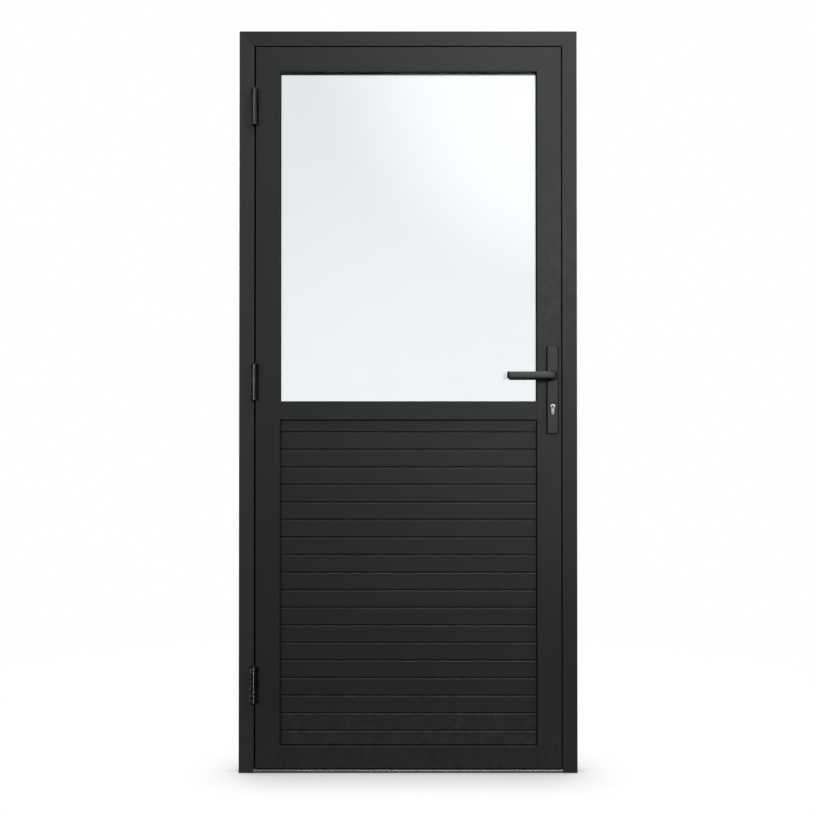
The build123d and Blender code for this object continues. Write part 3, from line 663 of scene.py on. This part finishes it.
# %% Glass
glass, glass_tree, glass_shader, glass_place = start_material(
    "clear_glass",
    {
        "Base Color": (0.893, 0.917, 0.922, 1),
        "Metallic": 0.0,
        "Transmission Weight": 1.0,
        "IOR": 1.5,
        "Roughness": 0.0,
    },
)
waviness = add_node(glass_tree, "ShaderNodeTexNoise", {"Scale": 2.5, "Detail": 1.0})
join(glass_tree, glass_place, waviness.inputs["Vector"])
press_in(glass_tree, waviness.outputs["Fac"], glass_shader, strength=0.1, distance=0.0002)

# %% [markdown]
# The bare metals are the steel of the lock, the nickel of its cylinder, the screws and the threshold. They
# differ in tone, in gloss and in the way in which their scratches run.

# %% Metals
scratch_depth = 0.00002


def metal_finish(name, dark, light, squeeze, smooth, rough):
    """Brushed metal, its streaks drawn out along the axis that the squeeze keeps small."""
    material, tree, shader, place = start_material(name, {"Metallic": 1.0})
    stretch = add_node(tree, "ShaderNodeMapping", {"Scale": squeeze})
    join(tree, place, stretch.inputs["Vector"])
    grain = place_group(
        tree, brushed_grain, {"Dark": (*dark, 1), "Light": (*light, 1), "Smooth": smooth, "Rough": rough}
    )
    join(tree, stretch.outputs["Vector"], grain.inputs["Place"])
    join(tree, grain.outputs["Colour"], shader.inputs["Base Color"])
    join(tree, grain.outputs["Roughness"], shader.inputs["Roughness"])
    press_in(tree, grain.outputs["Height"], shader, strength=0.4, distance=scratch_depth)
    return material


lock_steel = metal_finish(
    "lock_steel", dark=(0.30, 0.30, 0.31), light=(0.48, 0.48, 0.49),
    squeeze=(900, 900, 12), smooth=0.28, rough=0.45,
)
satin_nickel = metal_finish(
    "satin_nickel", dark=(0.37, 0.363, 0.343), light=(0.49, 0.483, 0.463),
    squeeze=(40, 900, 900), smooth=0.4, rough=0.52,
)
screw_steel = metal_finish(
    "screw_steel", dark=(0.16, 0.16, 0.165), light=(0.3, 0.3, 0.31),
    squeeze=(600, 600, 600), smooth=0.35, rough=0.5,
)
sill_metal = metal_finish(
    "sill_metal", dark=(0.2, 0.2, 0.195), light=(0.36, 0.36, 0.35),
    squeeze=(9, 600, 600), smooth=0.4, rough=0.6,
)

# %% [markdown]
# The spacer between the panes is a dark warm-edge bar with rows of small holes on the side that looks into
# the cavity. The holes repeat every few millimetres, which two sine waves make without any modelling.

# %% Spacer
spacer_coat, spacer_tree, spacer_shader, _, spacer_place = dark_finish(
    "spacer_coat", 0.15,
    {"Colour": (0.008, 0.008, 0.0082, 1), "Drift": 0.1, "Peel Size": 0.0008, "Smooth": 0.6, "Rough": 0.75},
)
hole_pitch = 0.006
hole_waves = add_node(spacer_tree, "ShaderNodeSeparateXYZ")
join(spacer_tree, spacer_place, hole_waves.inputs[0])
hole_heights = []
for along in ("X", "Z"):
    turns = calculate(spacer_tree, "MULTIPLY", hole_waves.outputs[along], 2 * math.pi / hole_pitch)
    wave = add_node(spacer_tree, "ShaderNodeMath", operation="SINE")
    join(spacer_tree, turns, wave.inputs[0])
    hole_heights.append(wave.outputs[0])
dimples = calculate(spacer_tree, "MINIMUM", hole_heights[0], hole_heights[1])
press_in(spacer_tree, dimples, spacer_shader, strength=0.6, distance=0.0003)

# %% [markdown]
# ## Dressing the solid model
# Each node takes the finish of its own material. The frame and the leaf each have a material of their own,
# and the hinge jamb is given a lighter tone than the rest.

# %% Dress the nodes
finish_of_slot = {
    "coated_aluminium": leaf_coat,
    "slat_coating": slat_coat,
    "handle_coating": handle_coat,
    "hinge_coating": hinge_coat,
    "rubber": rubber,
    "glass": glass,
    "spacer": spacer_coat,
    "lock_steel": lock_steel,
    "satin_nickel": satin_nickel,
}
slot_of_node = {part["node"]: part["material_slot"] for part in frame["record"]["subparts"]}
finish_of_node = {
    "frame_hinge_jamb": hinge_jamb_coat,
    "frame_lock_jamb": frame_coat,
    "frame_head": frame_coat,
    "threshold": sill_metal,
}
for name, node in nodes.items():
    finish = finish_of_node.get(name, finish_of_slot[slot_of_node[name]])
    node.data.materials.clear()
    node.data.materials.append(finish)
print("dressed", len(nodes), "nodes in", len(bpy.data.materials), "materials")

# %% [markdown]
# ## Helpers for modelling
# Each small part starts as a primitive and is shaped in edit mode. An operator works on whatever is
# selected, so one helper picks points, edges or faces by their place or the way they face, and the last
# one cleans a finished part, puts its place into the mesh and lets it ride on the door.

# %% Modelling helpers
hair = 0.00001
aligned = 0.9


def only_select(piece):
    bpy.ops.object.select_all(action="DESELECT")
    piece.select_set(True)
    bpy.context.view_layer.objects.active = piece


def start_shaping(piece):
    """Open one object in edit mode, with its turn and size already in the mesh."""
    only_select(piece)
    bpy.ops.object.transform_apply(location=True, rotation=True, scale=True)
    bpy.ops.object.mode_set(mode="EDIT")


def pick(kind, test):
    """Select only the points, edges or faces whose middle and direction pass a test."""
    bpy.ops.mesh.select_mode(type=kind)
    bpy.ops.mesh.select_all(action="DESELECT")
    shape = bmesh.from_edit_mesh(bpy.context.edit_object.data)
    shape.normal_update()
    chosen = 0
    for part in {"VERT": shape.verts, "EDGE": shape.edges, "FACE": shape.faces}[kind]:
        if kind == "VERT":
            middle, direction = part.co, part.normal
        elif kind == "EDGE":
            middle = (part.verts[0].co + part.verts[1].co) / 2
            direction = (part.verts[1].co - part.verts[0].co).normalized()
        else:
            middle, direction = part.calc_center_median(), part.normal
        if test(middle, direction):
            part.select_set(True)
            chosen += 1
    shape.select_flush_mode()
    bmesh.update_edit_mesh(bpy.context.edit_object.data)
    assert chosen, "nothing picked"


def extrude_by(x, y, z):
    bpy.ops.mesh.extrude_region_move(TRANSFORM_OT_translate={"value": (x, y, z)})


def cut_with(piece, cutter, operation="DIFFERENCE"):
    """Cut a piece with another one, or join them, and delete the other."""
    only_select(piece)
    boolean = piece.modifiers.new("cut", "BOOLEAN")
    boolean.operation = operation
    boolean.object = cutter
    boolean.solver = "EXACT"
    bpy.ops.object.modifier_apply(modifier=boolean.name)
    only_select(cutter)
    bpy.ops.object.delete()
    only_select(piece)


def placed_copy(pattern, place, turn=(0, 0, 0)):
    """A copy, with its own mesh, of a pattern that was modelled at the origin."""
    only_select(pattern)
    bpy.ops.object.duplicate(linked=False)
    twin = bpy.context.object
    twin.location = place
    twin.rotation_mode = "ZYX"
    twin.rotation_euler = [math.radians(angle) for angle in turn]
    only_select(twin)
    bpy.ops.object.transform_apply(location=True, rotation=True, scale=True)
    return twin


def delete_pattern(pattern):
    only_select(pattern)
    bpy.ops.object.delete()


def finish_piece(piece, name, body, finish, smooth_angle=35):
    """Clean a mesh, name it, give it its finish and let it ride on its body."""
    start_shaping(piece)
    bpy.ops.mesh.select_mode(type="VERT")
    bpy.ops.mesh.select_all(action="SELECT")
    bpy.ops.mesh.remove_doubles(threshold=0.000002)
    bpy.ops.mesh.normals_make_consistent(inside=False)
    bpy.ops.object.mode_set(mode="OBJECT")
    bpy.ops.object.shade_smooth_by_angle(angle=math.radians(smooth_angle))
    piece.name = name
    piece.data.materials.clear()
    piece.data.materials.append(finish)
    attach(piece, body)
    print(name, "has", len(piece.data.polygons), "faces")


# %% [markdown]
# ## The levers
# A lever like this is a flattened oval grip that bends back into a round neck. It could be a swept curve,
# but then its section could not change from oval to round on the way. So one outline is drawn out along
# the grip, spun round the bend and pressed into a circle at the neck. The grip's rounded end is given the
# black finish, as painted shade for its dark end.

# %% Lever values
outer_plate_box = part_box("outer_handle_plate")
outer_lever_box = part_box("outer_lever")
inner_lever_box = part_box("inner_lever")
leaf_middle_y = (outer_lever_box[0].y + inner_lever_box[1].y) / 2
spindle_x = outer_plate_box[0].x + (outer_plate_box[1].x - outer_plate_box[0].x) / 2
spindle_z = (outer_lever_box[0].z + outer_lever_box[1].z) / 2
grip_height = 0.020
grip_depth = 0.013
tip_length = 0.005
tip_steps = 6
grip_corner = 0.0062
bend_radius = 0.020
neck_radius = 0.0095
neck_change = 0.006
neck_sink = 0.001
edge_break = 0.0005
grip_from_middle = leaf_middle_y - outer_lever_box[0].y - grip_depth / 2
collar_from_middle = leaf_middle_y - outer_plate_box[0].y
print("spindle at", round(spindle_x, 4), round(spindle_z, 4))
print("the grip lies", round(grip_from_middle, 4), "from the middle of the leaf")

# %% [markdown]
# The outline is a small plane with rounded corners, stood up at the tip. The first steps widen it from a
# flat end, one long step makes the grip, and spin turns it round the bend towards the leaf.


# %% Lever shape
def fit_circle(radius):
    """Scale the picked ring about its middle to a radius, and return its middle."""
    shape = bmesh.from_edit_mesh(bpy.context.edit_object.data)
    ring = [point.co.copy() for point in shape.verts if point.select]
    middle = sum(ring, Vector()) / len(ring)
    growth = radius / max((point - middle).length for point in ring)
    bpy.ops.transform.resize(value=(growth, 1, growth))
    return middle


def make_lever(name, tip_x, toward):
    """A lever whose grip lies on the side of the leaf that toward gives along Y."""
    grip_y = leaf_middle_y + toward * grip_from_middle
    bend_x = spindle_x - bend_radius
    bend_y = grip_y - toward * bend_radius
    bpy.ops.object.select_all(action="DESELECT")
    bpy.ops.mesh.primitive_plane_add(
        size=1, location=(tip_x, grip_y, spindle_z), rotation=(0, math.radians(90), 0)
    )
    piece = bpy.context.object
    piece.scale = (grip_height, grip_depth, 1)
    start_shaping(piece)
    bpy.ops.mesh.select_all(action="SELECT")
    bpy.ops.mesh.bevel(offset=grip_corner, segments=7, profile=0.5, affect="VERTICES")
    bpy.ops.mesh.select_all(action="SELECT")
    angles = [math.radians(90 * step / tip_steps) for step in range(1, tip_steps + 1)]
    bpy.ops.transform.resize(value=(1, math.sin(angles[0]), 1))
    for before, after in zip(angles, angles[1:]):
        extrude_by(tip_length * (math.cos(before) - math.cos(after)), 0, 0)
        bpy.ops.transform.resize(value=(1, math.sin(after) / math.sin(before), 1))
    extrude_by(bend_x - tip_x - tip_length * math.cos(angles[0]), 0, 0)
    bpy.ops.mesh.spin(
        steps=12, angle=toward * math.radians(90), center=(bend_x, bend_y, spindle_z), axis=(0, 0, 1)
    )
    extrude_by(0, toward * -neck_change, 0)
    bpy.ops.transform.tosphere(value=1)
    rim = fit_circle(neck_radius)
    extrude_by(0, toward * -(abs(rim.y - leaf_middle_y) - collar_from_middle + neck_sink), 0)
    pick("EDGE", lambda middle, direction: abs(middle.x - tip_x) < hair)
    bpy.ops.mesh.bevel(offset=edge_break, segments=2, affect="EDGES")
    bpy.ops.object.mode_set(mode="OBJECT")
    finish_piece(piece, name, "handle", lever_coat_painted_lighter)
    # The rounded end gets the black finish, as painted shade.
    piece.data.materials.append(rubber)
    for face in piece.data.polygons:
        if face.center.x < tip_x + tip_length:
            face.material_index = 1
    return piece


outer_lever = make_lever("outer_lever_grip", outer_lever_box[0].x, -1)
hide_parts("outer_lever")
inner_lever = make_lever("inner_lever_grip", inner_lever_box[0].x, 1)
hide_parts("inner_lever")

# %% [markdown]
# ## Pads and washers of the handle
# Between each handle plate and the leaf lies a thin black pad, a little larger than the plate. Its rim
# draws the dark line round the plate, as painted shade for the shadow that the plate casts. It is hollow,
# because the plate hides its middle.

# %% Pads under the plates
plate_corner = 0.005
pad_shade_rim = 0.0016
pad_cover = 0.003
pad_thickness = 0.0012


def plate_shade_pad(name, plate, toward):
    """A flat rubber frame under a handle plate, on the side of the leaf that toward gives along Y; its rim is
    painted shade.
    """
    low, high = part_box(plate)
    leaf_face_y = high.y if toward < 0 else low.y
    bpy.ops.object.select_all(action="DESELECT")
    bpy.ops.mesh.primitive_plane_add(
        size=1,
        location=((low.x + high.x) / 2, leaf_face_y, (low.z + high.z) / 2),
        rotation=(math.radians(90), 0, 0),
    )
    pad = bpy.context.object
    pad.scale = (high.x - low.x + 2 * pad_shade_rim, high.z - low.z + 2 * pad_shade_rim, 1)
    start_shaping(pad)
    bpy.ops.mesh.bevel(offset=plate_corner + pad_shade_rim, segments=6, affect="VERTICES")
    bpy.ops.mesh.select_all(action="SELECT")
    bpy.ops.mesh.inset(thickness=pad_shade_rim + pad_cover)
    bpy.ops.mesh.delete(type="FACE")
    bpy.ops.mesh.select_all(action="SELECT")
    extrude_by(0, toward * pad_thickness, 0)
    bpy.ops.object.mode_set(mode="OBJECT")
    finish_piece(pad, name, "leaf", rubber)


plate_shade_pad("outer_plate_shade_pad", "outer_handle_plate", -1)
plate_shade_pad("inner_plate_shade_pad", "inner_handle_plate", 1)

# %% [markdown]
# A black washer lies on the collar round the turning neck, as painted shade for the dark ring round the
# neck. It is a disc, inset to a ring and given a thin edge.

# %% Washers at the necks
washer_radius = 0.0148
washer_thickness = 0.0006
washer_gap = 0.0001


def neck_shade_washer(name, face_y, toward):
    """A flat black ring on the collar, round the neck of the lever, as painted shade."""
    bpy.ops.object.select_all(action="DESELECT")
    bpy.ops.mesh.primitive_circle_add(
        vertices=64, radius=washer_radius, fill_type="NGON",
        location=(spindle_x, face_y, spindle_z), rotation=(math.radians(90), 0, 0),
    )
    washer = bpy.context.object
    start_shaping(washer)
    bpy.ops.mesh.select_all(action="SELECT")
    bpy.ops.mesh.inset(thickness=washer_radius - neck_radius - washer_gap)
    bpy.ops.mesh.delete(type="FACE")
    bpy.ops.mesh.select_all(action="SELECT")
    extrude_by(0, toward * washer_thickness, 0)
    bpy.ops.object.mode_set(mode="OBJECT")
    finish_piece(washer, name, "leaf", rubber)


neck_shade_washer("outer_neck_shade_washer", outer_plate_box[0].y, -1)
neck_shade_washer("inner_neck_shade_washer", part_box("inner_handle_plate")[1].y, 1)

# %% [markdown]
# ## The lock cylinder
# A profile cylinder is a round barrel joined to a narrower tail with a round foot. It stands a hair proud
# of the plate in a slightly larger hole, so a fine dark gap runs round it. At each end a plug stands a
# little further out, and the walls of its keyway are painted black, as painted shade inside the slot.

# %% Cylinder body
cylinder_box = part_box("lock_cylinder")
cylinder_gap = 0.0008
plug_proud = 0.0005
print("the solid cylinder's box:", cylinder_box)
hole_radius = 0.0085
barrel_radius = hole_radius - cylinder_gap
tail_radius = 0.005 - cylinder_gap
barrel_z = cylinder_box[1].z - hole_radius
foot_z = cylinder_box[0].z + cylinder_gap
cylinder_front = cylinder_box[0].y + plug_proud
cylinder_back = cylinder_box[1].y - plug_proud
cylinder_length = cylinder_back - cylinder_front
cylinder_middle_y = (cylinder_front + cylinder_back) / 2
keyway_width = 0.003
keyway_height = 0.0084
keyway_depth = 0.009
keyway_corner = 0.0007
keyway_floor = 0.004
keyway_reach = 0.0062


def cut_keyway(piece, end_y):
    """Cut the tall slot of the key into one end of a piece."""
    bpy.ops.object.select_all(action="DESELECT")
    bpy.ops.mesh.primitive_cube_add(size=1, location=(spindle_x, end_y, barrel_z))
    slot = bpy.context.object
    slot.scale = (keyway_width, 2 * keyway_depth, keyway_height)
    start_shaping(slot)
    pick("EDGE", lambda middle, direction: abs(direction.y) > aligned)
    bpy.ops.mesh.bevel(offset=keyway_corner, segments=3, affect="EDGES")
    bpy.ops.object.mode_set(mode="OBJECT")
    cut_with(piece, slot)


def paint_keyway_shade(piece):
    """Give the walls of the keyway the black finish, as painted shade."""
    piece.data.materials.append(rubber)
    for face in piece.data.polygons:
        across = abs(face.center.x - spindle_x) < keyway_width / 2 + hair
        upright = abs(face.center.z - barrel_z) < keyway_height / 2 + hair
        wall = abs(face.normal.y) < 0.5
        deep = abs(face.center.y - cylinder_middle_y) < cylinder_length / 2 - keyway_floor
        if across and upright and (wall or deep):
            face.material_index = 1


bpy.ops.object.select_all(action="DESELECT")
bpy.ops.mesh.primitive_cylinder_add(
    vertices=64, radius=barrel_radius, depth=cylinder_length,
    location=(spindle_x, cylinder_middle_y, barrel_z), rotation=(math.radians(90), 0, 0),
)
cylinder = bpy.context.object
bpy.ops.object.select_all(action="DESELECT")
bpy.ops.mesh.primitive_cube_add(size=1, location=(spindle_x, cylinder_middle_y, (barrel_z + foot_z) / 2))
tail = bpy.context.object
tail.scale = (2 * tail_radius, cylinder_length, barrel_z - foot_z)
start_shaping(tail)
pick("EDGE", lambda middle, direction: abs(direction.y) > aligned and middle.z < foot_z + 0.001)
bpy.ops.mesh.bevel(offset=tail_radius * 0.98, segments=10, affect="EDGES")
bpy.ops.object.mode_set(mode="OBJECT")
cut_with(cylinder, tail, "UNION")
cut_keyway(cylinder, cylinder_front)
cut_keyway(cylinder, cylinder_back)


def on_rim(middle, direction):
    """True on the outline of either end face, away from the keyway."""
    at_end = min(abs(middle.y - cylinder_front), abs(middle.y - cylinder_back)) < hair
    return at_end and math.hypot(middle.x - spindle_x, middle.z - barrel_z) > keyway_reach


start_shaping(cylinder)
pick("EDGE", on_rim)
bpy.ops.mesh.bevel(offset=edge_break, segments=3, affect="EDGES")
bpy.ops.object.mode_set(mode="OBJECT")
finish_piece(cylinder, "profile_cylinder", "leaf", satin_nickel)
paint_keyway_shade(cylinder)
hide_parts("lock_cylinder")

# %% [markdown]
# The plug is the round part that the key turns. One is made for each end, with its own keyway and a fine
# bevel round its outer face.

# %% Plugs
plug_radius = 0.0057
plug_length = 0.006
for name, end_y, outward in (("outer_plug", cylinder_front, -1), ("inner_plug", cylinder_back, 1)):
    plug_face_y = end_y + outward * plug_proud
    bpy.ops.object.select_all(action="DESELECT")
    bpy.ops.mesh.primitive_cylinder_add(
        vertices=48, radius=plug_radius, depth=plug_length,
        location=(spindle_x, plug_face_y - outward * plug_length / 2, barrel_z),
        rotation=(math.radians(90), 0, 0),
    )
    plug = bpy.context.object
    cut_keyway(plug, plug_face_y)
    start_shaping(plug)
    pick("EDGE", lambda middle, direction: abs(middle.y - plug_face_y) < hair
         and math.hypot(middle.x - spindle_x, middle.z - barrel_z) > plug_radius * 0.95)
    bpy.ops.mesh.bevel(offset=0.0003, segments=2, affect="EDGES")
    bpy.ops.object.mode_set(mode="OBJECT")
    finish_piece(plug, name, "leaf", satin_nickel)
    paint_keyway_shade(plug)

# %% [markdown]
# ## Ends of the hinges
# Each barrel ends in a low domed cap with a hexagon socket, where the pin is held. One cap is modelled and
# copied to the six ends, turned over for the lower ones.

# %% Hinge caps
cap_radius = 0.0073
cap_rise = 0.0022
cap_round = 0.0017
socket_radius = 0.0023
socket_depth = 0.002
bpy.ops.object.select_all(action="DESELECT")
bpy.ops.mesh.primitive_cylinder_add(vertices=48, radius=cap_radius, depth=2 * cap_rise, location=(0, 0, 0))
cap_pattern = bpy.context.object
start_shaping(cap_pattern)
pick("EDGE", lambda middle, direction: middle.z > cap_rise * 0.99)
bpy.ops.mesh.bevel(offset=cap_round, segments=6, affect="EDGES")
bpy.ops.object.mode_set(mode="OBJECT")
bpy.ops.object.select_all(action="DESELECT")
bpy.ops.mesh.primitive_cylinder_add(
    vertices=6, radius=socket_radius, depth=2 * socket_depth, location=(0, 0, cap_rise)
)
cut_with(cap_pattern, bpy.context.object)
for place in ("bottom", "middle", "top"):
    top_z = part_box(f"{place}_hinge_leaf_half")[1].z
    low_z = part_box(f"{place}_hinge_frame_half")[0].z
    upper = placed_copy(cap_pattern, (*hinge_axis, top_z))
    finish_piece(upper, f"{place}_hinge_upper_cap", "leaf", hinge_coat)
    lower = placed_copy(cap_pattern, (*hinge_axis, low_z), turn=(180, 0, 0))
    finish_piece(lower, f"{place}_hinge_lower_cap", "frame", hinge_coat)
delete_pattern(cap_pattern)

# %% [markdown]
# ## Screws
# Countersunk screws with a cross recess hold the lock's face plate and the strike plate, and two hold the
# plates of the handle from inside. The screw is a short cylinder with a slightly rounded rim, and its
# cross is cut out of it.

# %% Screw pattern
screw_radius = 0.0034
screw_length = 0.003
screw_rise = 0.0003
screw_rim = 0.00025
cross_length = 0.0036
cross_width = 0.0009
cross_depth = 0.0013
bpy.ops.object.select_all(action="DESELECT")
bpy.ops.mesh.primitive_cylinder_add(
    vertices=32, radius=screw_radius, depth=screw_length, location=(0, 0, screw_rise - screw_length / 2)
)
screw_pattern = bpy.context.object
start_shaping(screw_pattern)
pick("EDGE", lambda middle, direction: middle.z > screw_rise - hair)
bpy.ops.mesh.bevel(offset=screw_rim, segments=2, affect="EDGES")
bpy.ops.object.mode_set(mode="OBJECT")
for length, width in ((cross_length, cross_width), (cross_width, cross_length)):
    bpy.ops.object.select_all(action="DESELECT")
    bpy.ops.mesh.primitive_cube_add(size=1, location=(0, 0, screw_rise))
    recess = bpy.context.object
    recess.scale = (length, width, 2 * cross_depth)
    start_shaping(recess)
    pick("FACE", lambda middle, direction: direction.z < -aligned)
    bpy.ops.transform.resize(value=(0.5, 0.5, 1))
    bpy.ops.object.mode_set(mode="OBJECT")
    cut_with(screw_pattern, recess)
print("screw with", len(screw_pattern.data.polygons), "faces")

# %% [markdown]
# Each screw lies at a place and has a turn. The last turn moves the cross a little further on from screw to
# screw, because no one drives two screws to the same angle.

# %% Place the screws
plate_end = 0.009
handle_screw_inset = 0.016
collar_rise = 0.004
lock_turn = 200
strike_turn = 130
lock_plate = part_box("lock_case")
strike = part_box("strike_plate")
inner_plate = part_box("inner_handle_plate")
lock_middle_y = (lock_plate[0].y + lock_plate[1].y) / 2
strike_middle_y = (strike[0].y + strike[1].y) / 2
screw_places = []
for height in (lock_plate[0].z + plate_end, lock_plate[1].z - plate_end):
    screw_places.append(("leaf", (lock_plate[1].x, lock_middle_y, height), (0, 90, lock_turn * height)))
screw_places.append(("leaf", (lock_plate[1].x, lock_middle_y, barrel_z), (0, 90, 0)))
for height in (strike[0].z + plate_end, strike[1].z - plate_end):
    screw_places.append(("frame", (strike[0].x, strike_middle_y, height), (0, -90, strike_turn * height)))
for height in (inner_plate[0].z + handle_screw_inset, inner_plate[1].z - handle_screw_inset):
    screw_places.append(("leaf", (spindle_x, inner_plate[1].y - collar_rise, height), (-90, 0, 0)))
for number, (body, place, turn) in enumerate(screw_places, start=1):
    screw = placed_copy(screw_pattern, place, turn)
    finish_piece(screw, f"screw_{number:02d}", body, screw_steel, smooth_angle=20)
delete_pattern(screw_pattern)

# %% [markdown]
# ## The door seal
# The seal on the stop is a hollow rubber bulb that runs up both jambs and across the head. It is drawn as
# a flat frame, given its depth and rounded towards the leaf, and its lower side is cut away, because no
# seal lies on the threshold.

# %% Bulb seal
seal_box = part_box("frame_gasket")
seal_width = 0.006
seal_round = 0.0024
seal_surplus = 0.1
bpy.ops.object.select_all(action="DESELECT")
bpy.ops.mesh.primitive_plane_add(
    size=1, location=(0, seal_box[1].y, (seal_box[1].z - seal_surplus) / 2), rotation=(math.radians(90), 0, 0)
)
bulb = bpy.context.object
bulb.scale = (seal_box[1].x - seal_box[0].x, seal_box[1].z + seal_surplus, 1)
start_shaping(bulb)
bpy.ops.mesh.select_all(action="SELECT")
bpy.ops.mesh.inset(thickness=seal_width)
bpy.ops.mesh.delete(type="FACE")
bpy.ops.mesh.select_all(action="SELECT")
extrude_by(0, seal_box[0].y - seal_box[1].y, 0)
pick("EDGE", lambda middle, direction: middle.y < seal_box[0].y + hair
     and max(abs(direction.x), abs(direction.z)) > aligned)
bpy.ops.mesh.bevel(offset=seal_round, segments=5, affect="EDGES")
bpy.ops.mesh.select_all(action="SELECT")
bpy.ops.mesh.bisect(
    plane_co=(0, 0, seal_box[0].z), plane_no=(0, 0, 1), clear_inner=True, clear_outer=False, use_fill=True
)
bpy.ops.object.mode_set(mode="OBJECT")
finish_piece(bulb, "bulb_seal", "frame", rubber)
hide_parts("frame_gasket")

# %% [markdown]
# ## The brush under the leaf
# A strip of bristle tufts under the leaf keeps draughts out and brushes over the threshold. One tuft is a
# small block that splays downwards and ends in a blunt tip, and an Array modifier repeats it along the leaf.

# %% Brush
bottom_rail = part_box("leaf_bottom_rail")
threshold_top = 0.010
tuft_pitch = 0.003
tuft_width = 0.0021
tuft_thickness = 0.004
tuft_splay = (1.3, 1.35, 1)
tip_inset = 0.0005
tip_drop = 0.0008
brush_inset = 0.004
brush_sink = 0.001
brush_gap = 0.0002
brush_start = bottom_rail[0].x + brush_inset
brush_count = int((bottom_rail[1].x - bottom_rail[0].x - 2 * brush_inset) / tuft_pitch)
tuft_height = bottom_rail[0].z - threshold_top - brush_gap
tuft_middle_z = bottom_rail[0].z + brush_sink - tuft_height / 2
bpy.ops.object.select_all(action="DESELECT")
bpy.ops.mesh.primitive_cube_add(size=1, location=(brush_start + tuft_pitch / 2, leaf_middle_y, tuft_middle_z))
brush = bpy.context.object
brush.scale = (tuft_width, tuft_thickness, tuft_height)
start_shaping(brush)
pick("FACE", lambda middle, direction: direction.z < -aligned)
bpy.ops.transform.resize(value=tuft_splay)
bpy.ops.mesh.inset(thickness=tip_inset)
bpy.ops.transform.translate(value=(0, 0, -tip_drop))
bpy.ops.object.mode_set(mode="OBJECT")
row = brush.modifiers.new("row", "ARRAY")
row.count = brush_count
row.use_relative_offset = False
row.use_constant_offset = True
row.constant_offset_displace = (tuft_pitch, 0, 0)
bpy.ops.object.modifier_apply(modifier=row.name)
finish_piece(brush, "draught_brush", "leaf", rubber)
